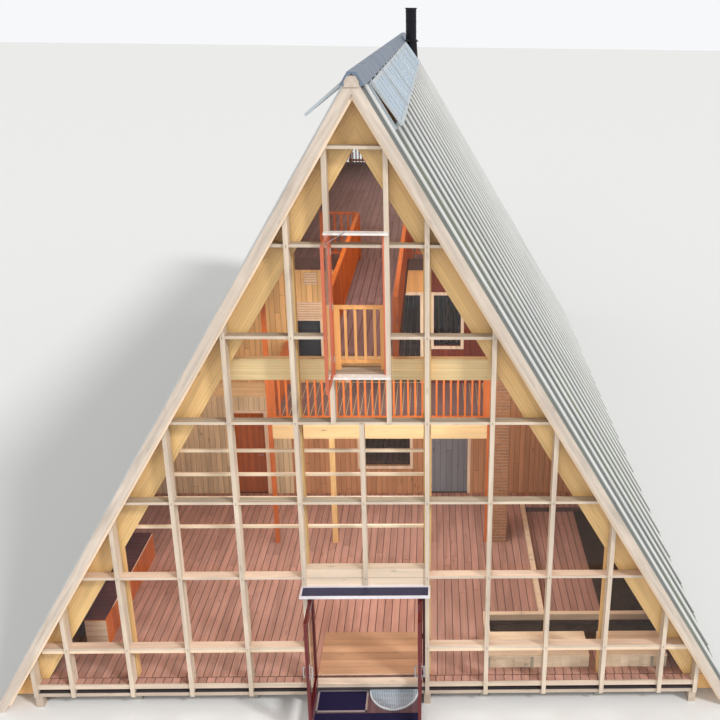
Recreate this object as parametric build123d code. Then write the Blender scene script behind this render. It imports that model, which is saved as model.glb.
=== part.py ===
from build123d import *
import math
import os

# A-frame timber cabin with a glazed gable, after the photograph.
# Millimetres. X runs along the gable, Y into the depth, Z up.
# The origin is on the ground, under the middle of the front of the gable.
# Heights below are measured from the gable's datum, and node() lifts the house by base_height.

os.makedirs("parts", exist_ok=True)

# Main sizes
bay = 1000.0                  # spacing of the gable mullions
ridge_height = 10130.0        # apex of the roof deck, under the metal sheets
roof_pitch = 58.8             # slope of both roofs, degrees
length = 22400.0              # front of the mullions to the front of the back mullions
base_height = 280.0           # ground to the datum of the heights
eave_clearance = 110.0        # ground to the foot of the roof
floor_level = 170.0           # top of the ground deck

# Roof build-up, measured square to the slope
deck_thickness = 110.0        # the part of the roof that also covers the overhang
rafter_depth = 385.0          # insulated depth below the deck
lining_thickness = 15.0
sheet_thickness = 12.0
rib_pitch = 1000.0
rib_width = 110.0
rib_top = 60.0
rib_height = 55.0
overhang = 60.0               # roof beyond the front of the mullions
barge_width = 145.0
barge_thickness = 40.0
barge_proud = 20.0            # barge boards above the roof deck
batten_width = 55.0           # batten under the soffit, behind the barge boards
batten_thickness = 40.0
end_board_half = 100.0        # small board over the joint of the barge boards
end_board_foot = 150.0        # its foot under the ridge
end_board_head = 10.0         # its flat top under the ridge
end_board_proud = 44.0        # its sloping corners over the roof deck
end_board_thickness = 20.0

# Gable frame
mullion_width = 70.0
mullion_depth = 200.0
end_mullion_inset = 243.0     # last upright to the slope, at the sill
transom_height = 45.0
transom_setback = 30.0        # transoms stand back from the mullion fronts
first_transom = 894.0
transom_step = 1380.0
sill_plank_height = 85.0      # plank at the level of the deck
base_rail_height = 75.0
base_rail_top = 10.0
foot_width = 120.0
casement_half = 424.0         # middle of the jambs of the upper opening
glass_thickness = 16.0
glass_gap = 2.0
rafter_thickness = 140.0
post_width = 115.0
frame_gap = 20.0              # glass to the timber frame behind it

# Door
door_head = 2100.0            # underside of the lintel boards
lintel_height = 340.0
jamb_width = 40.0
jamb_depth = 100.0
leaf_thickness = 50.0
leaf_gap = 8.0
leaf_stile = 95.0
leaf_bottom_rail = 200.0
door_setback = 60.0
hinge_radius = 7.0
hinge_reach = 12.0            # hinge pin ahead of the leaf's face
hinge_length = 100.0
hinge_plate = 36.0
hinge_inset = 200.0           # end hinges from the ends of the leaf
hinge_running_gap = 0.4
threshold_height = 150.0
door_floor_gap = 10.0
handle_height = 940.0         # middle of the handle over the foot of the leaf
handle_length = 220.0
handle_radius = 10.0
handle_reach = 45.0           # handle bar off the face of the leaf
canopy_depth = 300.0
canopy_overlap = 45.0         # canopy beyond the middle of the door mullions
canopy_thickness = 40.0
canopy_rim = 28.0
canopy_tray = 15.0            # depth of the metal tray inside the rim
step_half = 900.0
step_depth = 900.0
floor_panel_half = 880.0      # planks let onto the deck behind the door
floor_panel_depth = 1150.0
floor_panel_thickness = 20.0

# Upper opening
opening_foot_lift = 230.0     # foot of the opening over the foot of the tie beam
opening_head_lift = 190.0     # head of the opening over its transom
casement_lining = 25.0
casement_leaf_thickness = 45.0
casement_leaf_stile = 60.0
ledge_depth = 120.0
ledge_thickness = 30.0
gate_sill_height = 60.0
gate_setback = 60.0

# Floors
first_floor_top = 3000.0
first_floor_depth = 350.0
terrace_front = 4500.0
terrace_half = 2200.0
loft_top = 5900.0
loft_depth = 260.0
loft_back_gap = 2200.0        # loft to the back of the house
house_front = 6700.0          # front wall of the rooms
wall_thickness = 200.0
tie_bottom = 5610.0
tie_height = 340.0
tie_thickness = 140.0
walkway_half = 560.0
walkway_depth = 60.0

# Balustrades
rail_height = 1000.0
rail_size = 45.0
hand_rail_width = 72.0
low_rail_height = 120.0
post_size = 90.0
baluster_pitch = 145.0
baluster_size = 40.0
balustrade_clearance = 40.0   # balustrade to the lining of the slope

# Doors and windows of the rooms
room_door_height = 2080.0     # over each floor
room_window_sill = 730.0
room_door_leaf = 50.0
wide_door_width = 1600.0
side_door_x = 3150.0
side_door_width = 700.0
grey_door_x = 1450.0
grey_door_width = 900.0
ground_window_x = -25.0
ground_window_width = 1150.0
upper_window_x = 1400.0
upper_window_width = 600.0
upper_window_sill = 900.0

# Boxes, beds and the trellis behind the gable
box_front = 410.0
box_back = 1060.0
box_height = 260.0
box_lid = 30.0
box_lid_reach = 20.0
box_spans = ((2040.0, 3830.0), (4060.0, 5200.0))
bed_depth = 110.0
bed_back = 1750.0
kerb_width = 100.0
kerb_height = 130.0
side_bed_x = 3200.0
side_bed_back = 6000.0
bed_edge = 5300.0
bench_front = 1480.0
bench_length = 2520.0
bench_height = 570.0
bench_inner = 4720.0
bench_clearance = 5.0
trellis_heights = (3030.0, 3550.0, 3980.0, 4400.0)
trellis_size = 45.0
pier_width = 330.0
pier_depth = 600.0
pier_gap = 50.0
pier_top = 4500.0

# Roof vents
vent_count = 6
vent_first = 900.0
vent_gap = 400.0
vent_slope = 750.0
vent_top = 230.0              # slope distance from the ridge to the vent hinge
vent_frame = 60.0
vent_thickness = 45.0
vent_end_gap = 5.0
vent_lift_right = 5.0         # degrees that the sashes stand open
vent_lift_left = 19.0
curb_width = 60.0
cap_gap = 20.0                # ridge cap to the vent hinges
cap_thickness = 8.0
element_joint = 0.5           # between neighbouring elements of a roof

# Foundations
plinth_inset = 50.0
bearer_width = 150.0
bearer_pitch = 2000.0
bearers_each_side = 2

# Flue
flue_radius = 170.0
flue_x = 350.0
flue_back_gap = 3400.0        # flue to the back of the house
flue_clearance = 730.0        # flue to the last vent
flue_top = 11000.0
flue_seat = 0.3               # flue to the hole through the roof
flue_cap_reach = 20.0
flue_cap_height = 40.0

slope = math.tan(math.radians(roof_pitch))
cos_pitch = math.cos(math.radians(roof_pitch))
sin_pitch = math.sin(math.radians(roof_pitch))
over = 100.0                  # how far a cutting block passes the faces that it cuts


def drop(square_thickness):
    """Vertical thickness of a layer whose thickness is measured square to the roof."""
    return square_thickness / cos_pitch


def half_width(apex, z):
    """Half the width between the two slopes that meet at apex, at height z."""
    return (apex - z) / slope


ground = -base_height
eave = ground + eave_clearance
soffit_apex = ridge_height - drop(deck_thickness)
lining_top_apex = soffit_apex - drop(rafter_depth - lining_thickness)
inner_apex = soffit_apex - drop(rafter_depth)
glass_y = mullion_depth
frame_y = glass_y + glass_thickness + frame_gap
inside_y = frame_y + rafter_thickness
back_glass_y = length - mullion_depth
back_frame_y = back_glass_y - glass_thickness - frame_gap
back_inside_y = back_frame_y - rafter_thickness
roof_start = -overhang
roof_end = length + overhang
curb_lift = sheet_thickness + rib_height
roof_run = (ridge_height - eave) / sin_pitch

end_x = half_width(soffit_apex, floor_level) - end_mullion_inset
bays_each_side = int((end_x - 1.5 * mullion_width) // bay)
base_rail_foot = base_rail_top - base_rail_height
transom_count = 1 + int((soffit_apex - slope * casement_half - first_transom) // transom_step)
transoms = [first_transom + transom_step * i for i in range(transom_count)]
storey = transoms[3]
lintel_top = door_head + lintel_height
canopy_top = door_head + canopy_thickness
door_edge = bay - mullion_width / 2
jamb_face = casement_half - mullion_width / 2
opening_foot = tie_bottom + opening_foot_lift
opening_top = transoms[5] + opening_head_lift
gate_sill_foot = opening_foot - gate_sill_height
loft_back = length - loft_back_gap


def block(x0, x1, y0, y1, z0, z1):
    """Box between two corners."""
    middle = ((x0 + x1) / 2, (y0 + y1) / 2, (z0 + z1) / 2)
    return Pos(*middle) * Box(abs(x1 - x0), abs(y1 - y0), abs(z1 - z0))


def gable_shape(points, y0, y1):
    """Closed outline in X and Z, carried from y0 to y1."""
    face = make_face(Polyline([(x, y0, z) for x, z in points], close=True))
    return extrude(face, amount=y1 - y0, dir=(0, 1, 0))


def slope_layer(side, top_apex, low_apex, y0, y1, z_foot):
    """One slope's layer between two parallel planes, cut level at its foot."""
    points = [
        (0, low_apex),
        (0, top_apex),
        (side * half_width(top_apex, z_foot), z_foot),
        (side * half_width(low_apex, z_foot), z_foot),
    ]
    return gable_shape(points, y0, y1)


def between_slopes(apex, y0, y1, z0, z1):
    """Slab between the two slopes."""
    wide_low = half_width(apex, z0)
    wide_high = half_width(apex, z1)
    points = [(-wide_low, z0), (wide_low, z0), (wide_high, z1), (-wide_high, z1)]
    return gable_shape(points, y0, y1)


def under_slopes(apex, y0, y1, z0):
    """Whole triangle between the two slopes above z0."""
    wide = half_width(apex, z0)
    return gable_shape([(-wide, z0), (wide, z0), (0, apex)], y0, y1)


def on_slope(side, distance, lift=0.0):
    """Point in X and Z at a distance down the deck from the ridge, lifted square off it."""
    x = side * (distance * cos_pitch + lift * sin_pitch)
    z = ridge_height - distance * sin_pitch + lift * cos_pitch
    return x, z


def node(name, *solids):
    """Write one node from its solids, lifted onto the ground."""
    parts = []
    for item in solids:
        parts.extend((Pos(0, 0, base_height) * item).solids())
    shape = parts[0] if len(parts) == 1 else Compound(parts)
    export_step(shape, os.path.join("parts", name + ".step"))


# Foundations, ground deck and the beds let into it
def plinth(side):
    """Low wall that carries the foot of one roof."""
    outer = side * (half_width(ridge_height, eave) - plinth_inset)
    inner_head = side * half_width(inner_apex, eave)
    inner_foot = side * half_width(inner_apex, ground)
    points = [(inner_foot, ground), (outer, ground), (outer, eave), (inner_head, eave)]
    return gable_shape(points, inside_y, back_inside_y)


def bearers():
    """Walls along the house that carry the deck."""
    pieces = []
    for k in range(-bearers_each_side, bearers_each_side + 1):
        x = k * bearer_pitch
        pieces.append(block(x - bearer_width / 2, x + bearer_width / 2, glass_y, back_glass_y, ground, 0))
    return pieces


node("plinths", plinth(-1), plinth(1), *bearers())

bed_floor = floor_level - bed_depth
deck = between_slopes(inner_apex, glass_y, back_glass_y, 0, floor_level)
deck = deck - block(box_spans[0][0] + kerb_width, bed_edge, box_back, bed_back, bed_floor, floor_level + over)
deck = deck - block(side_bed_x, bed_edge - kerb_width, bed_back + kerb_width, side_bed_back,
                    bed_floor, floor_level + over)
node("ground_deck", deck)


def deck_box(x0, x1, y0, y1, height):
    """Closed timber box with a lid that stands out over its front."""
    top = floor_level + height
    body = block(x0, x1, y0, y1, floor_level, top - box_lid)
    lid = block(x0, x1, y0 - box_lid_reach, y1, top - box_lid, top)
    return body + lid


kerb_top = floor_level + kerb_height
kerb_x0 = box_spans[0][0]
bench_wall = half_width(inner_apex, floor_level + bench_height) - bench_clearance
deck_boxes = [deck_box(x0, x1, box_front, box_back, box_height) for x0, x1 in box_spans]
deck_boxes.append(deck_box(-bench_wall, -bench_inner, bench_front, bench_front + bench_length, bench_height))
deck_boxes.append(block(kerb_x0, kerb_x0 + kerb_width, box_back, bed_back, floor_level, kerb_top))
deck_boxes.append(block(kerb_x0, bed_edge - kerb_width, bed_back, bed_back + kerb_width,
                        floor_level, kerb_top))
deck_boxes.append(block(side_bed_x - kerb_width, side_bed_x, bed_back + kerb_width, side_bed_back,
                        floor_level, kerb_top))
node("deck_boxes", *deck_boxes)

node("door_floor_panel", block(-floor_panel_half, floor_panel_half, frame_y, frame_y + floor_panel_depth,
                               floor_level, floor_level + floor_panel_thickness))
node("door_step", block(-step_half, step_half, -step_depth, transom_setback, ground, 0))
node("door_threshold", block(-door_edge, door_edge, transom_setback, mullion_depth, base_rail_foot,
                             threshold_height))


# Roof
def vent_length():
    """Length of one vent, so that the row ends before the flue."""
    reach = length - flue_back_gap - flue_radius - flue_clearance - vent_first
    return (reach - (vent_count - 1) * vent_gap) / vent_count


def vent_starts():
    """Front end of each roof vent."""
    return [vent_first + i * (vent_length() + vent_gap) for i in range(vent_count)]


def slope_band(side, upper, lower, y0, y1):
    """Block through the whole roof between two distances from the ridge, square to the slope."""
    below = -(deck_thickness + rafter_depth + lining_thickness) - over
    above = curb_lift + over
    points = [
        on_slope(side, upper, below),
        on_slope(side, upper, above),
        on_slope(side, lower, above),
        on_slope(side, lower, below),
    ]
    return gable_shape(points, y0, y1)


def roof_elements(side, layer, inset):
    """One layer in elements: along the ridge, between the vents and below them.

    The vent openings are left between the elements, inset from the outside of the curbs.
    """
    head = vent_top + inset
    foot = vent_top + vent_slope - inset
    front = roof_start - over
    back = roof_end + over
    bands = [slope_band(side, -over, head, front, back)]
    for y0 in vent_starts():
        bands.append(slope_band(side, head + element_joint, foot - element_joint, front, y0 + inset))
        front = y0 + vent_length() - inset
    bands.append(slope_band(side, head + element_joint, foot - element_joint, front, back))
    bands.append(slope_band(side, foot, roof_run + over, roof_start - over, back))
    pieces = []
    for band in bands:
        piece = layer & band
        pieces.extend(piece.solids())
    return pieces


def flue_hole():
    """Round hole that the flue passes through."""
    return Pos(flue_x, length - flue_back_gap, flue_top / 2) * Cylinder(flue_radius + flue_seat, flue_top * 2)


def roof_half(side):
    """Deck with its insulated depth below it, behind the gable frames."""
    cover = slope_layer(side, ridge_height, soffit_apex, roof_start, roof_end, eave)
    depth = slope_layer(side, soffit_apex, lining_top_apex, inside_y, back_inside_y, eave)
    return cover + depth - flue_hole()


def lining_half(side):
    """Boards on the room side of one slope."""
    solid = slope_layer(side, lining_top_apex, inner_apex, inside_y, back_inside_y, floor_level)
    return solid - flue_hole()


def sheet_half(side):
    """Ribbed metal sheets, drawn as one section and carried down the slope."""
    points = [(roof_start, 0.0), (roof_start, sheet_thickness)]
    count = int((roof_end - roof_start) // rib_pitch)
    for i in range(count):
        middle = roof_start + rib_pitch * (i + 0.5)
        points.append((middle - rib_width / 2, sheet_thickness))
        points.append((middle - rib_top / 2, curb_lift))
        points.append((middle + rib_top / 2, curb_lift))
        points.append((middle + rib_width / 2, sheet_thickness))
    points.append((roof_end, sheet_thickness))
    points.append((roof_end, 0.0))
    corners = []
    for y, lift in points:
        x, z = on_slope(side, 0.0, lift)
        corners.append((x, y, z))
    face = make_face(Polyline(corners, close=True))
    direction = (side * cos_pitch, 0, -sin_pitch)
    return extrude(face, amount=roof_run, dir=direction) - flue_hole()


for side, word in ((-1, "left"), (1, "right")):
    node("roof_" + word, *roof_elements(side, roof_half(side), curb_width))
    node("lining_" + word, *roof_elements(side, lining_half(side), curb_width))
    node("roof_sheets_" + word, *roof_elements(side, sheet_half(side), 0))


def ridge_cap():
    """Folded metal cap along the ridge, flat between the upper edges of the two slopes of ribs."""
    reach = vent_top - cap_gap
    top = curb_lift + cap_thickness
    crown_x, crown_z = on_slope(1, 0, curb_lift)
    crown_top = crown_z + cap_thickness
    crown_half = half_width(ridge_height + drop(top), crown_top)
    points = [
        on_slope(-1, reach, top),
        (-crown_half, crown_top),
        (crown_half, crown_top),
        on_slope(1, reach, top),
        on_slope(1, reach, curb_lift),
        (crown_x, crown_z),
        (-crown_x, crown_z),
        on_slope(-1, reach, curb_lift),
    ]
    return gable_shape(points, roof_start, roof_end)


node("ridge_cap", ridge_cap())


# Roof vents, hinged under the ridge cap and held open
def vent_sash(side, y0, lift_angle):
    """Open sash: a frame with a pane, turned up about its top edge."""
    from_corner = (Align.MIN, Align.MIN, Align.MIN)
    long_side = vent_length() - 2 * vent_end_gap
    frame = Box(vent_slope, long_side, vent_thickness, align=from_corner)
    hole = Box(vent_slope - 2 * vent_frame, long_side - 2 * vent_frame, vent_thickness * 2, align=from_corner)
    frame = frame - Pos(vent_frame, vent_frame, -vent_thickness / 2) * hole
    pane = Box(vent_slope - 2 * vent_frame, long_side - 2 * vent_frame, glass_thickness, align=from_corner)
    pane = Pos(vent_frame, vent_frame, vent_thickness / 2 - glass_thickness / 2) * pane
    x, z = on_slope(side, vent_top, curb_lift)
    placed = []
    for item in (frame, pane):
        turned = item.rotate(Axis.Y, roof_pitch - lift_angle)
        if side < 0:
            turned = mirror(turned, about=Plane.YZ)
        placed.append(Pos(x, y0 + vent_end_gap, z) * turned)
    return placed


def vent_curb(side, y0):
    """Upstand round one roof opening, up to the top of the ribs."""
    outer = [
        on_slope(side, vent_top, 0),
        on_slope(side, vent_top, curb_lift),
        on_slope(side, vent_top + vent_slope, curb_lift),
        on_slope(side, vent_top + vent_slope, 0),
    ]
    hole = slope_band(side, vent_top + curb_width, vent_top + vent_slope - curb_width,
                      y0 + curb_width, y0 + vent_length() - curb_width)
    return gable_shape(outer, y0, y0 + vent_length()) - hole


vent_curbs = []
vent_frames = []
vent_panes = []
for side, angle in ((-1, vent_lift_left), (1, vent_lift_right)):
    for y0 in vent_starts():
        sash, sheet = vent_sash(side, y0, angle)
        vent_curbs.append(vent_curb(side, y0))
        vent_frames.append(sash)
        vent_panes.append(sheet)
node("vent_curbs", *vent_curbs)
node("vent_frames", *vent_frames)
node("vent_glass", *vent_panes)


def flue():
    """Flue from the lining up through the roof, with its cap."""
    foot = inner_apex - (flue_x + flue_radius) * slope
    tube = Pos(0, 0, (foot + flue_top) / 2) * Cylinder(flue_radius, flue_top - foot)
    cap = Pos(0, 0, flue_top - flue_cap_height / 2) * Cylinder(flue_radius + flue_cap_reach, flue_cap_height)
    return Pos(flue_x, length - flue_back_gap, 0) * (tube + cap)


node("flue", flue())


# Gable frames, drawn for the front and set at the back as well
def upright(x, z0, width, y0, y1, apex, z1=None):
    """Vertical member from z0 to the slope, or to z1."""
    if z1 is not None:
        return block(x - width / 2, x + width / 2, y0, y1, z0, z1)
    shape = block(x - width / 2, x + width / 2, y0, y1, z0, apex)
    return shape & under_slopes(apex, y0, y1, z0)


def mullion_set(y0, y1, with_door):
    """All uprights of a gable."""
    pieces = []
    places = [bay * k for k in range(1, bays_each_side + 1)]
    places.append(end_x - mullion_width / 2)
    for x in places:
        for side in (-1, 1):
            pieces.append(upright(side * x, base_rail_foot, mullion_width, y0, y1, soffit_apex))
    foot = canopy_top if with_door else base_rail_foot
    pieces.append(upright(0, foot, mullion_width, y0, y1, soffit_apex, storey))
    for side in (-1, 1):
        pieces.append(upright(side * casement_half, storey, mullion_width, y0, y1, soffit_apex))
    return pieces


def transom_set(y0, y1, mullions, with_door):
    """All rails of a gable, housed round the uprights."""
    pieces = []
    for i, z in enumerate(transoms):
        rail = between_slopes(soffit_apex, y0, y1, z - transom_height / 2, z + transom_height / 2)
        if with_door and z < lintel_top:
            rail = rail - block(-bay, bay, y0 - over, y1 + over, 0, lintel_top)
        if with_door and i == 4:
            rail = rail - block(-casement_half, casement_half, y0 - over, y1 + over, z - over, z + over)
        for piece in mullions:
            rail = rail - piece
        pieces.append(rail)
    return pieces


def sill_set(y0, y1, mullions, with_door):
    """Plank at the level of the deck, base rail and feet."""
    pieces = []
    for z0, z1 in ((floor_level - sill_plank_height, floor_level), (base_rail_foot, base_rail_top)):
        rail = block(-end_x, end_x, y0, y1, z0, z1)
        if with_door:
            rail = rail - block(-bay, bay, y0 - over, y1 + over, z0 - over, z1 + over)
        for piece in mullions:
            rail = rail - piece
        pieces.append(rail)
    for x in (bay, end_x - foot_width / 2):
        for side in (-1, 1):
            pieces.append(upright(side * x, ground, foot_width, y0, y1, 0, base_rail_foot))
    return pieces


front_mullions = mullion_set(0, mullion_depth, True)
node("front_mullions", *front_mullions)
node("front_transoms", *transom_set(transom_setback, mullion_depth, front_mullions, True))
node("front_sill", *sill_set(transom_setback, mullion_depth, front_mullions, True))
back_mullions = mullion_set(back_glass_y, length, False)
node("back_mullions", *back_mullions)
node("back_transoms", *transom_set(back_glass_y, length - transom_setback, back_mullions, False))
node("back_sill", *sill_set(back_glass_y, length - transom_setback, back_mullions, False))

# Boards between the two tall mullions over the door, and the canopy below them
lintel = block(-door_edge, door_edge, transom_setback, mullion_depth, door_head, lintel_top)
for piece in front_mullions:
    lintel = lintel - piece
node("door_lintel", lintel)


def door_canopy():
    """Ledge over the door with a metal tray inside its rim."""
    reach = bay + canopy_overlap
    solid = block(-reach, reach, -canopy_depth, 0, door_head, canopy_top)
    solid = solid + block(-door_edge, door_edge, 0, transom_setback, door_head, canopy_top)
    tray = block(-reach + canopy_rim, reach - canopy_rim, -canopy_depth + canopy_rim, -canopy_rim,
                 canopy_top - canopy_tray, canopy_top + over)
    return solid - tray


node("door_canopy", door_canopy())


# Glass behind the mullions
def pane(y0, x0, x1, z0, z1):
    """One sheet of glass under the slopes."""
    y1 = y0 + glass_thickness
    return under_slopes(soffit_apex, y0, y1, z0) & block(x0, x1, y0, y1, z0, z1)


wide = half_width(soffit_apex, floor_level)
front_panes = [
    pane(glass_y, -wide, -bay, floor_level, storey),
    pane(glass_y, bay, wide, floor_level, storey),
    pane(glass_y, -bay + glass_gap, bay - glass_gap, door_head, storey),
    pane(glass_y, -wide, -casement_half, storey + glass_gap, ridge_height),
    pane(glass_y, casement_half, wide, storey + glass_gap, ridge_height),
    pane(glass_y, -casement_half + glass_gap, casement_half - glass_gap, opening_top, ridge_height),
    pane(glass_y, -casement_half + glass_gap, casement_half - glass_gap, storey + glass_gap, gate_sill_foot),
]
node("front_glass", *front_panes)
back_pane_y = back_glass_y - glass_thickness
node("back_glass", pane(back_pane_y, -wide, wide, floor_level, storey),
     pane(back_pane_y, -wide, wide, storey + glass_gap, ridge_height))


# Laminated timber frame behind each gable's glass
def gable_rafters(y0, y1):
    """Two rafters that meet at the ridge."""
    return [slope_layer(side, soffit_apex, inner_apex, y0, y1, eave) for side in (-1, 1)]


def frame_posts(y0, y1, bays):
    """Posts under the rafters."""
    pieces = []
    for k in bays:
        for side in (-1, 1):
            pieces.append(upright(side * bay * k, floor_level, post_width, y0, y1, inner_apex))
    return pieces


outer_post_bay = bays_each_side - 1
terrace_floor = first_floor_top - first_floor_depth
terrace_props = []
for k in (-1, 1):
    terrace_props.append(upright(k * bay, floor_level, post_width, terrace_front, terrace_front + post_width,
                                 terrace_floor, terrace_floor))
node("front_rafters", *gable_rafters(frame_y, inside_y))
node("front_posts", *frame_posts(frame_y, inside_y, (1, outer_post_bay)), *terrace_props)
node("back_frame", *gable_rafters(back_inside_y, back_frame_y),
     *frame_posts(back_inside_y, back_frame_y, (1, outer_post_bay)))
node("tie_beam", between_slopes(inner_apex, inside_y, inside_y + tie_thickness, tie_bottom,
                                tie_bottom + tie_height))


def trellis():
    """Thin rails behind the gable posts, from the left slope to the post right of the door."""
    pieces = []
    for z in trellis_heights:
        low = z - trellis_size / 2
        high = z + trellis_size / 2
        rail = between_slopes(inner_apex, inside_y, inside_y + trellis_size, low, high)
        right_end = bay + post_width / 2
        pieces.append(rail & block(-end_x, right_end, inside_y, inside_y + trellis_size, low, high))
    return pieces


node("trellis_rails", *trellis())

# Barge boards on the front and back edges of the roof
barge_apex = ridge_height + drop(barge_proud)


def barge_pair(y0, y1):
    """Boards along both rakes, cut level at their heads."""
    low_apex = barge_apex - drop(barge_width)
    reach = half_width(barge_apex, ground)
    below_head = block(-reach, reach, y0, y1, ground, ridge_height - end_board_head)
    return [slope_layer(side, barge_apex, low_apex, y0, y1, ground) & below_head for side in (-1, 1)]


def end_board():
    """Small board over the joint of the front barge boards, with sloping upper corners."""
    y1 = roof_start - barge_thickness
    y0 = y1 - end_board_thickness
    foot = ridge_height - end_board_foot
    head = ridge_height - end_board_head
    corners = under_slopes(ridge_height + drop(end_board_proud), y0, y1, foot)
    return corners & block(-end_board_half, end_board_half, y0, y1, foot, head)


node("barge_boards_front", *barge_pair(roof_start - barge_thickness, roof_start), end_board())
node("barge_boards_back", *barge_pair(roof_end, roof_end + barge_thickness))
batten_low = soffit_apex - drop(batten_width)
batten_back = roof_start + batten_thickness
node("rake_battens", *[slope_layer(side, soffit_apex, batten_low, roof_start, batten_back, eave)
                       for side in (-1, 1)])

# Floors inside
rooms = between_slopes(inner_apex, house_front, back_inside_y, terrace_floor, first_floor_top)
terrace = block(-terrace_half, terrace_half, terrace_front, house_front, terrace_floor, first_floor_top)
node("first_floor", rooms + terrace)
node("loft_floor", between_slopes(inner_apex, house_front, loft_back, loft_top - loft_depth, loft_top))
node("walkway", block(-walkway_half, walkway_half, inside_y + tie_thickness, house_front,
                      loft_top - walkway_depth, loft_top))
terrace_posts = []
for side in (-1, 1):
    x = side * (terrace_half + post_size / 2)
    terrace_posts.append(upright(x, floor_level, post_size, terrace_front, terrace_front + post_size,
                                 inner_apex))
node("terrace_posts", *terrace_posts)
pier_x = terrace_half + post_size + pier_gap
node("brick_pier", block(pier_x, pier_x + pier_width, terrace_front, terrace_front + pier_depth,
                         floor_level, pier_top))


# Balustrades
def balustrade(x0, y0, x1, y1, z, height):
    """Posts, rails and square balusters between two points on a floor."""
    run = math.hypot(x1 - x0, y1 - y0)
    turn = math.degrees(math.atan2(y1 - y0, x1 - x0))
    post_height = height - rail_size
    solid = Pos(run / 2, 0, height - rail_size / 2) * Box(run, hand_rail_width, rail_size)
    solid = solid + Pos(run / 2, 0, low_rail_height) * Box(run, rail_size, rail_size)
    for x in (post_size / 2, run - post_size / 2):
        solid = solid + Pos(x, 0, post_height / 2) * Box(post_size, post_size, post_height)
    count = int((run - 2 * post_size) // baluster_pitch)
    first = (run - (count - 1) * baluster_pitch) / 2
    baluster_length = post_height - low_rail_height
    middle = (post_height + low_rail_height) / 2
    for i in range(count):
        x = first + baluster_pitch * i
        solid = solid + Pos(x, 0, middle) * Box(baluster_size, baluster_size, baluster_length)
    return Pos(x0, y0, z) * solid.rotate(Axis.Z, turn)


terrace_line = terrace_front + post_size / 2
side_line = terrace_half - post_size / 2
front_panel = balustrade(-terrace_half, terrace_line, terrace_half, terrace_line,
                         first_floor_top, rail_height)
side_panel = balustrade(-side_line, terrace_front + post_size, -side_line, house_front,
                        first_floor_top, rail_height)
node("first_floor_balustrade", front_panel, side_panel)

rail_line = walkway_half - post_size / 2
walkway_start = inside_y + tie_thickness
node("walkway_balustrades", *[balustrade(side * rail_line, walkway_start, side * rail_line, house_front,
                                         loft_top, rail_height) for side in (-1, 1)])
loft_half = half_width(inner_apex, loft_top + rail_height) - balustrade_clearance
loft_panels = [balustrade(-loft_half, loft_back - post_size / 2, loft_half, loft_back - post_size / 2,
                          loft_top, rail_height)]
loft_front_line = house_front + post_size / 2
for side in (-1, 1):
    loft_panels.append(balustrade(side * walkway_half, loft_front_line, side * loft_half, loft_front_line,
                                  loft_top, rail_height))
node("loft_balustrade", *loft_panels)


# Front walls of the rooms, with their doors and windows
def room_wall(z0, z1, openings):
    """Wall between the slopes with its openings cut through."""
    wall = between_slopes(inner_apex, house_front, house_front + wall_thickness, z0, z1)
    for middle, width, low, high in openings:
        wall = wall - block(middle - width / 2, middle + width / 2, house_front - over,
                            house_front + wall_thickness + over, low, high)
    return wall


def wall_sheet(opening, thickness):
    """Door leaf or pane that fills one opening, in the middle of the wall."""
    middle, width, low, high = opening
    y0 = house_front + wall_thickness / 2 - thickness / 2
    return block(middle - width / 2, middle + width / 2, y0, y0 + thickness, low, high)


ground_head = floor_level + room_door_height
upper_head = first_floor_top + room_door_height
side_door = (-side_door_x, side_door_width, floor_level, ground_head)
grey_door = (grey_door_x, grey_door_width, floor_level, ground_head)
ground_window = (ground_window_x, ground_window_width, floor_level + room_window_sill, ground_head)
upper_door = (0, wide_door_width, first_floor_top, upper_head)
upper_window = (upper_window_x, upper_window_width, first_floor_top + upper_window_sill, upper_head)
node("ground_wall", room_wall(floor_level, terrace_floor, [side_door, grey_door, ground_window]))
node("first_floor_wall", room_wall(first_floor_top, loft_top - loft_depth, [upper_door, upper_window]))
node("wall_doors", wall_sheet(side_door, room_door_leaf), wall_sheet(grey_door, room_door_leaf))
node("wall_glass", wall_sheet(ground_window, glass_thickness), wall_sheet(upper_door, glass_thickness),
     wall_sheet(upper_window, glass_thickness))

# Door leaves, drawn shut and then turned open about their pins
jamb_inner = door_edge - jamb_width
pin_x = jamb_inner - leaf_gap / 2
pin_y = door_setback - hinge_reach
leaf_low = threshold_height + door_floor_gap
leaf_high = door_head - jamb_width - leaf_gap
hinge_heights = [leaf_low + hinge_inset, (leaf_low + leaf_high) / 2, leaf_high - hinge_inset]


def hinge_half(side, z, fixed):
    """Knuckle with its plate, on the frame or on the leaf."""
    half = hinge_length / 2
    low = z - half if fixed else z + hinge_running_gap
    high = z if fixed else z + half
    knuckle = Pos(side * pin_x, pin_y, (low + high) / 2) * Cylinder(hinge_radius, high - low)
    away = 1 if fixed else -1
    x_far = side * (pin_x + away * hinge_plate)
    plate = block(side * pin_x, x_far, pin_y + hinge_radius * 0.7, door_setback, low, high)
    return knuckle + plate


def door_frame():
    """Jambs and head that the leaves shut against."""
    y0 = door_setback
    y1 = door_setback + jamb_depth
    solid = block(-door_edge, -jamb_inner, y0, y1, threshold_height, door_head)
    solid = solid + block(jamb_inner, door_edge, y0, y1, threshold_height, door_head)
    solid = solid + block(-door_edge, door_edge, y0, y1, door_head - jamb_width, door_head)
    for z in hinge_heights:
        for side in (-1, 1):
            solid = solid + hinge_half(side, z, True)
    return solid


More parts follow.
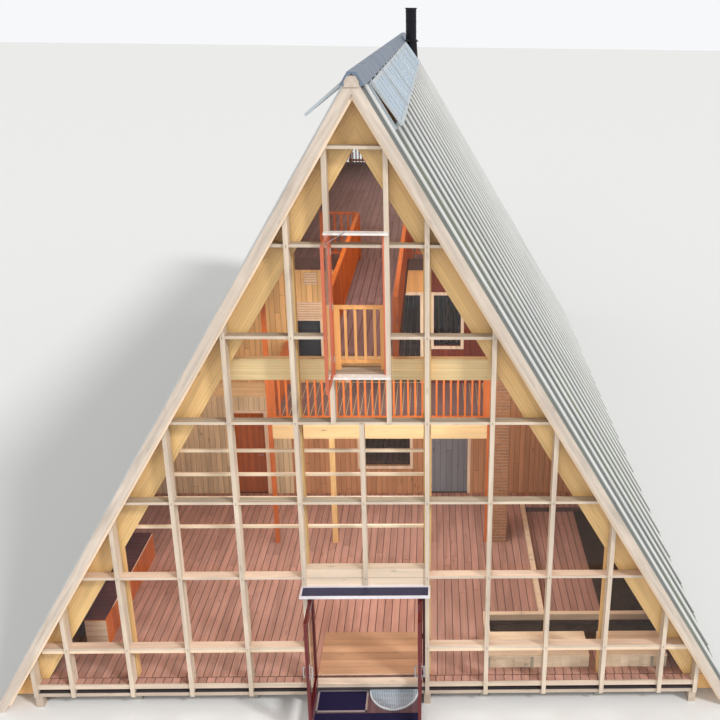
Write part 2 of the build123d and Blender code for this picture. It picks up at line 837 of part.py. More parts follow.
def leaf_parts(side):
    """Frame, pane and handle of one shut leaf."""
    near = jamb_inner - leaf_gap
    far = leaf_gap / 2
    y0 = door_setback
    y1 = door_setback + leaf_thickness
    frame = block(side * near, side * far, y0, y1, leaf_low, leaf_high)
    glass_near = side * (near - leaf_stile)
    glass_far = side * (far + leaf_stile)
    glass_low = leaf_low + leaf_bottom_rail
    glass_high = leaf_high - leaf_stile
    frame = frame - block(glass_near, glass_far, y0 - over, y1 + over, glass_low, glass_high)
    for z in hinge_heights:
        frame = frame + hinge_half(side, z, False)
    pane_y = (y0 + y1) / 2 - glass_thickness / 2
    glass = block(glass_near, glass_far, pane_y, pane_y + glass_thickness, glass_low, glass_high)
    handle_x = side * (far + leaf_stile / 2)
    handle_z = leaf_low + handle_height
    bars = []
    for y, face in ((y0 - handle_reach, y0), (y1 + handle_reach, y1)):
        bar = Pos(handle_x, y, handle_z) * Cylinder(handle_radius, handle_length)
        for end in (-1, 1):
            stub_z = handle_z + end * (handle_length / 2 - 2 * handle_radius)
            stub = Pos(handle_x, (y + face) / 2, stub_z) * Rot(90, 0, 0) * Cylinder(
                handle_radius * 0.7, abs(face - y))
            bar = bar + stub
        bars.append(bar)
    return frame, glass, bars


node("door_frame", door_frame())
for side, word in ((-1, "left"), (1, "right")):
    frame, glass, bars = leaf_parts(side)
    pin = Axis((side * pin_x, pin_y, 0), (0, 0, 1))
    node("door_" + word + "_frame", frame.rotate(pin, side * 90))
    node("door_" + word + "_glass", glass.rotate(pin, side * 90))
    node("door_" + word + "_handle", *[bar.rotate(pin, side * 90) for bar in bars])


# Upper opening with its lining, its open leaf, its ledges and its gate
def casement_frame():
    """Lining of the upper opening, in front of the transom that crosses it."""
    inner = jamb_face - casement_lining
    solid = block(-jamb_face, jamb_face, 0, transom_setback, opening_foot, opening_top)
    return solid - block(-inner, inner, -over, transom_setback + over, opening_foot - over,
                         opening_top - casement_lining)


def casement_leaf():
    """Leaf hinged on the left jamb and held open square to the gable."""
    x0 = -casement_half
    x1 = x0 + casement_leaf_thickness
    width = 2 * jamb_face
    stile = casement_leaf_stile
    frame = block(x0, x1, -width, 0, opening_foot, opening_top)
    frame = frame - block(x0 - over, x1 + over, -width + stile, -stile, opening_foot + stile,
                          opening_top - stile)
    pane_x = (x0 + x1 - glass_thickness) / 2
    glass = block(pane_x, pane_x + glass_thickness, -width + stile, -stile, opening_foot + stile,
                  opening_top - stile)
    return frame, glass


def ledge(z0):
    """Weathered ledge across the front of the upper opening."""
    reach = jamb_face + mullion_width
    solid = block(-reach, reach, -ledge_depth, 0, z0, z0 + ledge_thickness)
    return solid + block(-jamb_face, jamb_face, 0, transom_setback, z0, z0 + ledge_thickness)


leaf_frame, leaf_glass = casement_leaf()
node("casement_frame", casement_frame(), leaf_frame)
node("casement_leaf_glass", leaf_glass)
node("upper_ledges", ledge(opening_foot - ledge_thickness), ledge(opening_top))
gate_y = glass_y + gate_setback
node("gate_sill", block(-jamb_face, jamb_face, transom_setback, inside_y, gate_sill_foot, opening_foot))
node("gate_balustrade", balustrade(-jamb_face, gate_y, jamb_face, gate_y, opening_foot, rail_height))
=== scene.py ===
import math
from itertools import product

import bmesh
import bpy
from mathutils import Matrix, Vector, noise


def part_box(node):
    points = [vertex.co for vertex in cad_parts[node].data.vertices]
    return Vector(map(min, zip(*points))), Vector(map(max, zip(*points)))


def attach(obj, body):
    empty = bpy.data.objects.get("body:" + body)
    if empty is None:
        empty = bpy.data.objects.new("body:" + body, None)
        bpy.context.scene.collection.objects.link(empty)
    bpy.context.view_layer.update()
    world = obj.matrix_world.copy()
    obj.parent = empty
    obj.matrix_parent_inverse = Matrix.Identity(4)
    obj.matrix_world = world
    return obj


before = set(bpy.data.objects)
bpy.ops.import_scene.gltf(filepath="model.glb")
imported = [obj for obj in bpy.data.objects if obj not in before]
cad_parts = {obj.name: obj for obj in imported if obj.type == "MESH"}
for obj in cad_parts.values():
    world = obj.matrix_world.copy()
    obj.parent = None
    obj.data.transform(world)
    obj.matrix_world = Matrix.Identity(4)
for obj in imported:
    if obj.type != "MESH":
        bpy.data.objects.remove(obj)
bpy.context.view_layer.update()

bl_info = {
    "name": "Glazed A-frame cabin",
    "version": (1, 0, 0),
    "blender": (4, 5, 0),
    "location": "3D View > Sidebar > Cabin",
    "description": "Finishes, boards, bricks and small parts of a timber A-frame cabin with a glazed gable",
    "category": "Object",
}

# Sizes read from the frame, in metres
ROOF_LOW, ROOF_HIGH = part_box("roof_right")
PITCH = math.atan2(ROOF_HIGH.z - ROOF_LOW.z, ROOF_HIGH.x)
RIDGE = ROOF_HIGH.z
LINING_BOARD = 0.015
INNER_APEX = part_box("lining_right")[1].z - LINING_BOARD / math.cos(PITCH)
DECK_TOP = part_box("ground_deck")[1].z
LANDING_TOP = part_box("door_step")[1].z
FIRST_FLOOR_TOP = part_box("first_floor")[1].z
LOFT_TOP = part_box("loft_floor")[1].z
HOUSE = "house"

# Roof sheets and vents, as the frame has them
ROOF_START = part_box("roof_sheets_right")[0].y
RIB_PITCH = 1.0
RIB_COUNT = 22
SHEET_LIFT = 0.012
RIB_LIFT = 0.067
CAP_REACH = 0.21
CAP_LIFT = 0.075
VENT_COUNT = 6
VENT_GAP = 0.4
VENT_HEAD = 0.23
VENT_SLOPE = 0.75
VENT_DEPTH = 0.045
VENT_LIFTS = {-1: math.radians(19.0), 1: math.radians(5.0)}

# Gable
BAY = 1.0
TRANSOM_FIRST = LANDING_TOP + 0.894
TRANSOM_STEP = 1.38
TRANSOM_COUNT = 7
TRANSOM_HEIGHT = 0.045
CASEMENT_HALF = 0.424
CASEMENT_RAIL = 4              # number of the rail that the upper opening cuts

# Planting beds on the deck: the front one along the gable, the side one along the right wall
BED_LEFT = 2.04
BED_FRONT = 1.06
BED_BACK = 1.85
SIDE_BED_LEFT = 3.1
SIDE_BED_BACK = 6.0
BED_FLOOR = DECK_TOP - 0.11
SIDE_BED_BOARDS = (3.21, 4.35, 1.86, 5.99)
BED_EARTH = ((2.15, 5.29, 1.07, 1.74), (4.36, 5.19, 1.86, 5.99))

# Boards on a box: the way from board to board, and the way that a board lies
FACES = {
    "top": ((0, 1, 0), (-1, 0, 0)),
    "front": ((1, 0, 0), (0, 0, 1)),
    "lying_front": ((0, 0, 1), (-1, 0, 0)),
    "right": ((0, 1, 0), (0, 0, 1)),
}

# Doors: faces of the open leaves, and the places of hinges as shares of a length
LEAF_OUTER = 0.909
LEAF_INNER = 0.859
HINGE_SHARES = (0.12, 0.5, 0.88)

# Patterns: how far the grain of two boards lies apart, and the length of a roof sheet
GRAIN_SHIFT = 37.0
SHEET_LENGTH = 3.9

# The photograph's camera, found by fitting points of the gable
CAMERA_PLACE = (1.0918, -12.9186, 11.2315)
CAMERA_YAW = 1.834
CAMERA_PITCH = 20.64
CAMERA_ROLL = 0.766
CAMERA_FOCAL = 929.07          # pixels of the 720 pixel frame
CAMERA_MIDDLE = 461.19         # pixel column that the camera points at
FRAME_PIXELS = 720.0
SENSOR = 36.0

# Fill lamps inside: name, power, place, direction, width and depth
FILL_LAMPS = (
    ("hall_fill", 190.0, (0.0, 2.5, 5.3), (0.0, 0.25, -1.0), 3.6, 3.0),
    ("room_fill", 48.0, (0.0, 4.75, 2.85), (0.0, 0.8, -0.6), 6.0, 0.3),
    ("terrace_fill", 26.0, (0.0, 4.6, 5.75), (0.0, 0.75, -0.65), 3.0, 0.4),
    ("walkway_fill", 60.0, (0.0, 3.4, 8.3), (0.0, 0.0, -1.0), 0.9, 5.0),
    ("loft_fill", 110.0, (0.0, 12.5, 8.6), (0.0, 0.0, -1.0), 0.8, 11.0),
)


def half_width(height):
    """Half the width between the linings of the two slopes at a height."""
    return (INNER_APEX - height) / math.tan(PITCH)


def on_slope(side, distance, lift=0.0):
    """Point in X and Z at a distance down the roof from the ridge, lifted square off the deck."""
    x = side * (distance * math.cos(PITCH) + lift * math.sin(PITCH))
    return x, RIDGE - distance * math.sin(PITCH) + lift * math.cos(PITCH)


def on_screen(red, green, blue):
    """Linear colour of a colour written as it looks on a screen."""
    def linear(value):
        return value / 12.92 if value <= 0.04045 else ((value + 0.055) / 1.055) ** 2.4
    return tuple(linear(value) for value in (red, green, blue))


def length_property(label, text, default):
    """A length that a user may change."""
    return bpy.props.FloatProperty(name=label, description=text, default=default, min=0.0, unit="LENGTH")


def colour_property(label, text, red, green, blue):
    """A colour that a user may change, given as it looks on a screen."""
    return bpy.props.FloatVectorProperty(name=label, description=text, subtype="COLOR", size=3, min=0.0,
                                         max=1.0, default=on_screen(red, green, blue))


class CabinSizes(bpy.types.PropertyGroup):
    board_pitch: length_property("Board pitch", "Width of one floor board with its gap", 0.145)
    board_gap: length_property("Board gap", "Gap between two floor boards", 0.015)
    board_height: length_property("Board height", "How far the floor boards stand over the deck", 0.006)
    course_pitch: length_property("Brick course", "Height of one course of bricks with its joint", 0.0722)
    joint: length_property("Mortar joint", "Width of the joint between two bricks", 0.010)
    brick_proud: length_property("Brick face", "How far the bricks stand out from the mortar", 0.004)
    swage_pitch: length_property("Swage pitch", "Distance between the small folds of the roof sheets", 0.2)
    swage_height: length_property("Swage height", "Height of the small folds of the roof sheets", 0.010)
    screw_head: length_property("Screw head", "Diameter of the heads of the roof screws", 0.016)


class CabinColours(bpy.types.PropertyGroup):
    upright: colour_property("Uprights", "Pale weathered fronts of the uprights", 0.89, 0.82, 0.74)
    weathered: colour_property("Weathered tops", "Grey of timber that lies in the rain", 0.72, 0.66, 0.58)
    # Lower tops: painted sunlight, paler tops on the two lowest rails
    sunlit_low_top: colour_property("Lower tops", "Paler tops of the two lowest rails", 0.88, 0.77, 0.68)
    sill: colour_property("Front strip", "Pale plank along the edge of the deck", 0.89, 0.81, 0.73)
    barge: colour_property("Barge boards", "Silver grey of the boards on the roof edges", 0.87, 0.81, 0.75)
    cream: colour_property("Cream boards", "Boards over the door and battens", 0.98, 0.89, 0.79)
    ledge: colour_property("Ledges", "White ledges of the upper opening", 0.94, 0.92, 0.90)
    glulam: colour_property("Laminated timber", "Rafters and posts behind the glass", 1.0, 0.81, 0.55)
    beam: colour_property("Beams", "Pale yellow of the tie beam and the floor edge", 1.0, 0.86, 0.64)
    plywood: colour_property("Plywood", "Lining of the slopes", 1.0, 0.80, 0.52)
    skirting: colour_property("Skirting", "Red brown boards at the foot of the lining", 0.72, 0.36, 0.22)
    deck: colour_property("Deck boards", "Oiled boards of the ground floor", 0.80, 0.61, 0.55)
    loft: colour_property("Loft boards", "Grey brown boards of the loft and the walkway", 0.60, 0.48, 0.47)
    landing: colour_property("Landing boards", "Purple brown boards in front of the door", 0.46, 0.34, 0.36)
    stain: colour_property("Orange stain", "Posts, rails and balusters", 0.86, 0.45, 0.20)
    salmon: colour_property("Salmon paint", "Open leaf of the upper opening", 0.80, 0.42, 0.30)
    gate: colour_property("Gate", "Yellow rails and balusters of the gate", 1.0, 0.74, 0.46)
    door: colour_property("Door paint", "Dark red of the double door", 0.38, 0.06, 0.08)
    # Roof colours: the dark sheet grey is partly painted reflection, and the pale rib colour is a painted
    # highlight
    sheet: colour_property("Roof sheets", "Weathered metal of the roof", 0.46, 0.47, 0.46)
    rib_highlight: colour_property("Roof ribs", "Bright ribs of the roof sheets", 0.87, 0.87, 0.86)
    cap: colour_property("Blue grey metal", "Ridge cap", 0.56, 0.62, 0.70)
    vent: colour_property("Vent frames", "Pale metal of the roof vents", 0.84, 0.87, 0.89)
    brick: colour_property("Brick", "Bricks of the pier", 0.70, 0.49, 0.34)
    pale: colour_property("Pale timber", "Boxes, lids and trellis rails", 0.98, 0.87, 0.75)
    wall: colour_property("Room walls", "Red brown boards of the room walls", 0.58, 0.27, 0.20)
    room: colour_property("Ground floor wall", "Brown boards of the wall behind the hall", 0.86, 0.62, 0.44)
    # Pale wall: paler boards at the left end, partly their own cream colour and partly painted sunlight
    pale_sunlit_wall: colour_property("Pale wall", "Pale yellow boards at the left end of that wall", 1.0, 0.90, 0.73)
    mat: colour_property("Mats", "Dark blue rubber and bristle in front of the door", 0.13, 0.11, 0.24)


# Small helpers for node trees
class Result:
    """Output of a node. Signs add Math nodes, and a name in brackets gives another output of the node."""

    def __init__(self, tree, socket):
        self.tree = tree
        self.socket = socket

    def __getitem__(self, name):
        return Result(self.tree, self.socket.node.outputs[name])

    def maths(self, operation, *others):
        """Result of one Math node."""
        return put(self.tree, "ShaderNodeMath", dict(enumerate((self, *others))), operation=operation)

    def __add__(self, other):
        return self.maths("ADD", other)

    def __sub__(self, other):
        return self.maths("SUBTRACT", other)

    def __rsub__(self, other):
        return put(self.tree, "ShaderNodeMath", {0: other, 1: self}, operation="SUBTRACT")

    def __mul__(self, other):
        return self.maths("MULTIPLY", other)

    def __truediv__(self, other):
        return self.maths("DIVIDE", other)

    def floor(self):
        """Whole number below."""
        return self.maths("FLOOR")

    def below(self, limit):
        """One where the value is less than a limit, and nothing elsewhere."""
        return self.maths("LESS_THAN", limit)

    def above(self, limit):
        """One where the value is more than a limit, and nothing elsewhere."""
        return self.maths("GREATER_THAN", limit)

    def spread(self, low, high, to_low=0.0, to_high=1.0):
        """Value mapped from one range to another and kept inside it."""
        inputs = {"Value": self, "From Min": low, "From Max": high, "To Min": to_low, "To Max": to_high}
        return put(self.tree, "ShaderNodeMapRange", inputs, "Result", clamp=True)

    def mix(self, first, second, blend="MIX"):
        """Colour between two colours, by this share."""
        return put(self.tree, "ShaderNodeMix", {0: self, 6: first, 7: second}, 2, data_type="RGBA",
                   blend_type=blend)

    def chance(self):
        """Random value that goes with this number."""
        return put(self.tree, "ShaderNodeTexWhiteNoise", {"W": self}, "Value", noise_dimensions="1D")

    def vector(self, operation, other):
        """Result of one Vector Math node."""
        return put(self.tree, "ShaderNodeVectorMath", {0: self, 1: other}, operation=operation)

    def scaled(self, *factors):
        """Vector with each part multiplied."""
        return self.vector("MULTIPLY", factors)

    def noise(self, scale, detail, **more):
        """Noise texture in the space of this vector."""
        inputs = {"Vector": self, "Scale": scale, "Detail": detail, **more}
        return put(self.tree, "ShaderNodeTexNoise", inputs)

    def parts(self):
        """The vector taken apart, with its parts by name."""
        return put(self.tree, "ShaderNodeSeparateXYZ", {0: self})


def fill(tree, socket, value):
    """Link a result to a socket, or set the socket to a plain value."""
    if isinstance(value, Result):
        tree.links.new(value.socket, socket)
    elif socket.type == "RGBA":
        socket.default_value = (*value[:3], 1.0)
    else:
        socket.default_value = value


def put(tree, kind, inputs=None, out=0, **settings):
    """Add one node, set it up, fill its inputs and give one of its outputs."""
    node = tree.nodes.new(kind)
    for key, value in settings.items():
        setattr(node, key, value)
    for key, value in (inputs or {}).items():
        fill(tree, node.inputs[key], value)
    return Result(tree, node.outputs[out])


def vector_of(tree, *parts):
    """Vector made of its parts."""
    return put(tree, "ShaderNodeCombineXYZ", dict(zip("XYZ", parts)))


def object_place(tree):
    """Coordinates of the object, which are the frame's."""
    return put(tree, "ShaderNodeTexCoord", out="Object")


def new_group(kind, name, inputs, outputs):
    """Empty node group with named sockets: its tree and its inputs."""
    tree = bpy.data.node_groups.new(name, kind)
    for label, socket, *default in inputs:
        made = tree.interface.new_socket(label, in_out="INPUT", socket_type="NodeSocket" + socket)
        if default:
            made.default_value = default[0]
    for label, socket in outputs:
        tree.interface.new_socket(label, in_out="OUTPUT", socket_type="NodeSocket" + socket)
    return tree, Result(tree, tree.nodes.new("NodeGroupInput").outputs[0])


def give(tree, **results):
    """Link results to the outputs of a node group."""
    leave = tree.nodes.new("NodeGroupOutput")
    for label, result in results.items():
        fill(tree, leave.inputs[label], result)


def use(tree, name, **inputs):
    """First output of a shader node group placed in a tree."""
    node = tree.nodes.new("ShaderNodeGroup")
    node.node_tree = bpy.data.node_groups[name]
    for key, value in inputs.items():
        fill(tree, node.inputs[key], value)
    return Result(tree, node.outputs[0])


# Shader node groups
def make_slope_group():
    """Coordinates square to the roof, down the slope and along the ridge, the same on both sides."""
    tree, _ = new_group("ShaderNodeTree", "roof_slope", [], [("Vector", "Vector")])
    place = object_place(tree).parts()
    out = place["X"].maths("ABSOLUTE")
    down = RIDGE - place["Z"]
    along = out * math.cos(PITCH) + down * math.sin(PITCH)
    square = out * math.sin(PITCH) - down * math.cos(PITCH)
    give(tree, Vector=vector_of(tree, square, along, place["Y"]))


def make_grain_group():
    """Wood grain that runs along Y of the vector that it gets."""
    tree, entry = new_group("ShaderNodeTree", "wood_grain",
                            [("Vector", "Vector"), ("Coarse", "Float", 9.0), ("Shift", "Float", 0.0)],
                            [("Figure", "Float"), ("Fibre", "Float"), ("Knot", "Float")])
    shift = entry["Shift"]
    place = entry["Vector"].vector("ADD", vector_of(tree, shift, shift, shift))
    figure = place.scaled(1.0, 0.07, 1.0).noise(entry["Coarse"], 3.0, Distortion=0.7)
    fibre = place.scaled(60.0, 2.5, 60.0).noise(3.0, 2.0)
    sparse = place.scaled(5.0, 1.6, 5.0)
    knot = put(tree, "ShaderNodeTexVoronoi", {"Vector": sparse, "Scale": 1.0}, "Distance")
    give(tree, Figure=figure.spread(0.3, 0.7), Fibre=fibre, Knot=knot.spread(0.05, 0.13, 1.0, 0.0))


def make_panel_group():
    """Rows of boards or sheets across X, each row cut into lengths along Y."""
    tree, entry = new_group("ShaderNodeTree", "panel_joints",
                            [("Vector", "Vector"), ("Width", "Float", 0.12), ("Length", "Float", 3.0),
                             ("Seam", "Float", 0.004)],
                            [("Tone", "Float"), ("Seam", "Float")])
    place = entry["Vector"].parts()
    across = place["X"] / entry["Width"]
    row = across.floor()
    along = place["Y"] / entry["Length"] + row.chance()
    cell = vector_of(tree, row, along.floor())
    tone = put(tree, "ShaderNodeTexWhiteNoise", {"Vector": cell}, "Value", noise_dimensions="2D")
    masks = []
    for value, size in ((across, "Width"), (along, "Length")):
        part = value.maths("FRACT")
        from_edge = part.maths("MINIMUM", 1.0 - part)
        masks.append((from_edge * entry[size]).below(entry["Seam"]))
    give(tree, Tone=tone, Seam=masks[0].maths("MAXIMUM", masks[1]))


def make_weather_group():
    """Masks for faces that lie in the rain, for stains and for streaks that run down."""
    tree, entry = new_group("ShaderNodeTree", "weathering", [("Size", "Float", 1.0)],
                            [("Top", "Float"), ("Stain", "Float"), ("Streak", "Float")])
    place = object_place(tree)
    stain = place.noise(entry["Size"], 5.0, Roughness=0.6)
    streak = place.scaled(14.0, 14.0, 0.7).noise(1.0, 3.0)
    give(tree, Top=place["Normal"].parts()["Z"].spread(0.4, 0.8), Stain=stain.spread(0.35, 0.65),
         Streak=streak.spread(0.45, 0.7))


# Materials
def pattern_space(tree, along):
    """Object coordinates turned so that the grain runs along Y."""
    if along == "slope":
        return use(tree, "roof_slope")
    place = object_place(tree).parts()
    return vector_of(tree, *(place[axis] for axis in {"x": "ZXY", "y": "XYZ", "z": "XZY"}[along]))


def new_material(name, **plain):
    """Material with a Principled shader and its plain values."""
    material = bpy.data.materials.new(name)
    material.use_nodes = True
    shader = material.node_tree.nodes["Principled BSDF"]
    for key, value in plain.items():
        fill(material.node_tree, shader.inputs[key.replace("_", " ").title()], value)
    return material, material.node_tree, shader


def finish(tree, shader, base, rough=None, height=None, depth=0.0):
    """Fill a Principled shader with its colour, its roughness and a relief of a depth in metres."""
    fill(tree, shader.inputs["Base Color"], base)
    if rough:
        fill(tree, shader.inputs["Roughness"], rough)
    if height:
        bump = put(tree, "ShaderNodeBump", {"Height": height, "Distance": depth, "Strength": 1.0})
        fill(tree, shader.inputs["Normal"], bump)


def darker(colour, share):
    """The same colour at a share of its brightness."""
    return tuple(share * value for value in colour)


def shaded(share, under, depth):
    """Colour that is darkened, and a little warmed, where the share is high."""
    return share.mix(under, (depth, 0.95 * depth, 0.90 * depth), "MULTIPLY")


def wood(name, along, colour, top=None, coarse=9.0, tone_attribute=False, contrast=0.35, stain=0.35,
         laminate=None, panels=None, roughness=0.62, coat=0.0, regions=(), knots=0.6, sunlit_low_top=None):
    """Timber: grain, fibres, knots, stains, and where wanted weathered tops, laminations or sheets.

    Each region is an axis, a limit, whether the region lies above the limit, and its colour. The
    lower tops, painted paler as painted sunlight, have a limit in Z and a colour.
    """
    material, tree, shader = new_material(name, roughness=roughness, coat_weight=coat)
    space = pattern_space(tree, along)
    tone = seam = None
    if tone_attribute:
        tone = put(tree, "ShaderNodeAttribute", out="Fac", attribute_name="tone")
    if panels:
        tone = use(tree, "panel_joints", Vector=space, Width=panels[0], Length=panels[1], Seam=panels[2])
        seam = tone["Seam"]
    grain = use(tree, "wood_grain", Vector=space, Coarse=coarse, Shift=tone * GRAIN_SHIFT if tone else 0.0)
    weather = use(tree, "weathering", Size=1.3)
    place = object_place(tree).parts()
    base = grain.mix(darker(colour, 1.0 - contrast), colour)
    for axis, limit, above, other in regions:
        inside = place[axis].above(limit) if above else place[axis].below(limit)
        base = inside.mix(base, grain.mix(darker(other, 0.7), other))
    base = shaded(weather["Stain"] * stain, base, 0.64)
    if tone:
        base = shaded(tone.spread(0.0, 1.0, 0.0, 0.5), base, 0.58)
    base = shaded(grain["Knot"] * knots, base, 0.38)
    if laminate:
        layer = space.parts()["X"] / laminate
        base = shaded(layer.floor().chance() * 0.3, base, 0.72)
        base = shaded(layer.maths("FRACT").below(0.07) * 0.55, base, 0.38)
    if top:
        weathered_and_lit_top = grain.mix(darker(top, 0.65), top)
        # Painted sunlight: below the limit the tops of the rails are paler
        if sunlit_low_top:
            limit, lit_top_colour = sunlit_low_top
            weathered_and_lit_top = place["Z"].below(limit).mix(weathered_and_lit_top, grain.mix(darker(lit_top_colour, 0.78), lit_top_colour))
        base = weather["Top"].mix(base, weathered_and_lit_top)
    fibre = grain["Fibre"]
    height = fibre
    if seam:
        base = shaded(seam, base, 0.14)
        height = fibre - seam * 3.0
    finish(tree, shader, base, fibre.spread(0.3, 0.7, roughness - 0.1, roughness + 0.12), height, 0.0012)
    return material


def metal(name, colour, rough=0.42, metallic=0.75, streak=0.4, along="slope", ribs=None):
    """Coated or bare sheet metal with rain streaks and dull patches.

    On the roof, ribs is the colour of the ribs, a painted highlight brighter than the sheets between them;
    the sheets differ a little, lap and carry green blotches, partly moss and partly painted reflection.
    """
    material, tree, shader = new_material(name, metallic=metallic)
    space = pattern_space(tree, along)
    streaks = space.scaled(6.0, 0.5, 9.0).noise(1.5, 4.0)
    dull = space.noise(0.8, 5.0)
    run = streaks.spread(0.4, 0.7)
    base = (run * streak).mix(colour, darker(colour, 0.6))
    base = (dull.spread(0.42, 0.62) * 0.3).mix(base, darker(colour, 1.25))
    if ribs:
        place = space.parts()
        bay = (place["Z"] / RIB_PITCH).floor()
        base = (bay.chance() * 0.45).mix(base, darker(colour, 0.6))
        # Green blotches, partly moss and partly painted reflection
        moss_and_reflection = space.noise(0.45, 4.0).spread(0.48, 0.68, 0.0, 0.45)
        base = moss_and_reflection.mix(base, on_screen(0.50, 0.52, 0.38))
        lap = (place["Y"] / SHEET_LENGTH).maths("FRACT").below(0.004)
        base = lap.mix(base, darker(colour, 0.3))
        # Painted highlight: the parts standing off the sheet, the ribs, take the bright rib colour
        rib_highlight_colour = (run * 0.35).mix(ribs, darker(ribs, 0.6))
        base = place["X"].spread(0.018, 0.045).mix(base, rib_highlight_colour)
        fill(tree, shader.inputs["Specular IOR Level"], 0.25)
    finish(tree, shader, base, dull.spread(0.3, 0.7, rough - 0.1, rough + 0.18), streaks, 0.0006)
    return material


def paint(name, colour, rough=0.3, along="z"):
    """Paint on timber: faint grain under a smooth coat, and lighter wear."""
    material, tree, shader = new_material(name, coat_weight=0.25, coat_roughness=0.15)
    grain = use(tree, "wood_grain", Vector=pattern_space(tree, along), Coarse=16.0)
    weather = use(tree, "weathering", Size=2.2)
    base = grain.mix(darker(colour, 0.78), colour)
    base = (weather["Streak"] * 0.25).mix(base, darker(colour, 1.7))
    finish(tree, shader, base, weather["Stain"].spread(0.0, 1.0, rough, rough + 0.2), grain["Fibre"], 0.0006)
    return material


def stone(name, colour, size, depth, rough=0.85, spots=0.3):
    """Rough matt surface such as brick, mortar, concrete, earth or bristle."""
    material, tree, shader = new_material(name, roughness=rough)
    place = object_place(tree)
    fine = place.noise(size, 6.0, Roughness=0.7)
    tone = put(tree, "ShaderNodeAttribute", out="Fac", attribute_name="tone")
    base = place.noise(size * 0.12, 4.0).spread(0.35, 0.65).mix(darker(colour, 0.75), colour)
    base = (tone * 0.45).mix(base, darker(colour, 0.5))
    base = (fine.spread(0.5, 0.7) * spots).mix(base, darker(colour, 1.5))
    finish(tree, shader, base, None, fine, depth)
    return material


def clear_glass(name, tint):
    """Clear pane that lets the light of the lamps through."""
    material, tree, shader = new_material(name, roughness=0.02, transmission_weight=1.0, base_color=tint)
    fill(tree, shader.inputs["IOR"], 1.25)
    path = put(tree, "ShaderNodeLightPath")
    through = put(tree, "ShaderNodeBsdfTransparent", {"Color": tint})
    soft = path["Is Shadow Ray"].maths("MAXIMUM", path["Is Diffuse Ray"])
    pane = Result(tree, shader.outputs[0])
    blend = put(tree, "ShaderNodeMixShader", {0: soft, 1: pane, 2: through})
    fill(tree, tree.nodes["Material Output"].inputs["Surface"], blend)
    return material


def tinted_pane(name, tint):
    """Pane that is hardly clear and a little dusty."""
    material, tree, shader = new_material(name, transmission_weight=0.12, coat_weight=0.4)
    dust = object_place(tree).noise(1.7, 5.0)
    base = dust.spread(0.35, 0.7).mix(tint, darker(tint, 0.78))
    finish(tree, shader, base, dust.spread(0.3, 0.7, 0.05, 0.25))
    return material


def dress(material, *nodes):
    """Give CAD nodes a material."""
    for name in nodes:
        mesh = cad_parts[name]
        for slot in mesh.material_slots:
            slot.link = "OBJECT"
            slot.material = material
        if not mesh.material_slots:
            mesh.data.materials.append(material)


# Geometry Nodes trees
def counted(tree, each, rows):
    """Points in rows: the points, and the index, the row and the column of each."""
    line = put(tree, "GeometryNodeMeshLine", {"Count": each * rows, "Offset": (0.0, 0.0, 0.0)})
    index = put(tree, "GeometryNodeInputIndex")
    row = ((index + 0.01) / each).floor()
    return line, index, row, index - row * each


def moved(tree, points, place):
    """Points at their places."""
    return put(tree, "GeometryNodeSetPosition", {"Geometry": points, "Position": place})


def settle(tree, entry, copies):
    """Realize the copies, place them, set their material and end the tree."""
    solid = put(tree, "GeometryNodeRealizeInstances", {"Geometry": copies})
    turned = put(tree, "GeometryNodeTransform",
                 {"Geometry": solid, "Translation": entry["Place"], "Rotation": entry["Turn"]})
    dressed = put(tree, "GeometryNodeSetMaterial", {"Geometry": turned, "Material": entry["Material"]})
    give(tree, Geometry=dressed)


def sockets(**kinds):
    """Sockets of a group, from their names under each kind, with those that every tree ends with."""
    listed = [(label, kind) for kind, labels in kinds.items() for label in labels]
    return listed + [("Place", "Vector"), ("Turn", "Vector"), ("Material", "Material")]


def make_board_tree():
    """Rows of boards along Y, each row cut into parts with shifted joints."""
    names = sockets(Int=("Rows", "Parts", "Seed"),
                    Float=("Pitch", "Run", "Gap", "Height", "Loose", "Stagger"))
    tree, entry = new_group("GeometryNodeTree", "rows_of_boards", names, [("Geometry", "Geometry")])
    parts = entry["Parts"]
    run = entry["Run"]
    line, index, row, part = counted(tree, parts, entry["Rows"])

    def joint(step):
        """Place along the run of the joint at the start or at the end of a board."""
        number = part + step
        chance = put(tree, "FunctionNodeRandomValue",
                     {"ID": index + step, "Seed": entry["Seed"], 2: -0.5, 3: 0.5}, 1, data_type="FLOAT")
        odd = row.maths("MODULO", 2.0) - 0.5
        shift = chance * entry["Loose"] + odd * entry["Stagger"]
        first = number.below(0.5)
        last = number.above(parts - 0.5)
        inner = 1.0 - first.maths("MAXIMUM", last)
        return (number + shift) / parts * run * inner + last * run

    low = joint(0.0)
    high = joint(1.0)
    middle = vector_of(tree, (row + 0.5) * entry["Pitch"], (low + high) / 2.0, entry["Height"] / 2.0)
    size = vector_of(tree, entry["Pitch"] - entry["Gap"], high - low - entry["Gap"] * 0.5, entry["Height"])
    cube = put(tree, "GeometryNodeMeshCube", {"Size": (1.0, 1.0, 1.0)})
    copies = put(tree, "GeometryNodeInstanceOnPoints",
                 {"Points": moved(tree, line, middle), "Instance": cube, "Scale": size})
    tone = put(tree, "FunctionNodeRandomValue", {"Seed": entry["Seed"]}, 1, data_type="FLOAT")
    settle(tree, entry, put(tree, "GeometryNodeStoreNamedAttribute",
                            {"Geometry": copies, "Name": "tone", "Value": tone}, data_type="FLOAT",
                            domain="INSTANCE"))


def bar(tree, entry):
    """Bar with sloping sides, along X with its foot down."""
    spine = put(tree, "GeometryNodeCurvePrimitiveLine", {"End": vector_of(tree, entry["Length"])})
    lengths = {"Bottom Width": entry["Top"], "Top Width": entry["Foot"], "Height": entry["Height"],
               "Offset": 0.0}
    profile = put(tree, "GeometryNodeCurvePrimitiveQuadrilateral", lengths, mode="TRAPEZOID")
    return put(tree, "GeometryNodeCurveToMesh", {"Curve": spine, "Profile Curve": profile, "Fill Caps": True})


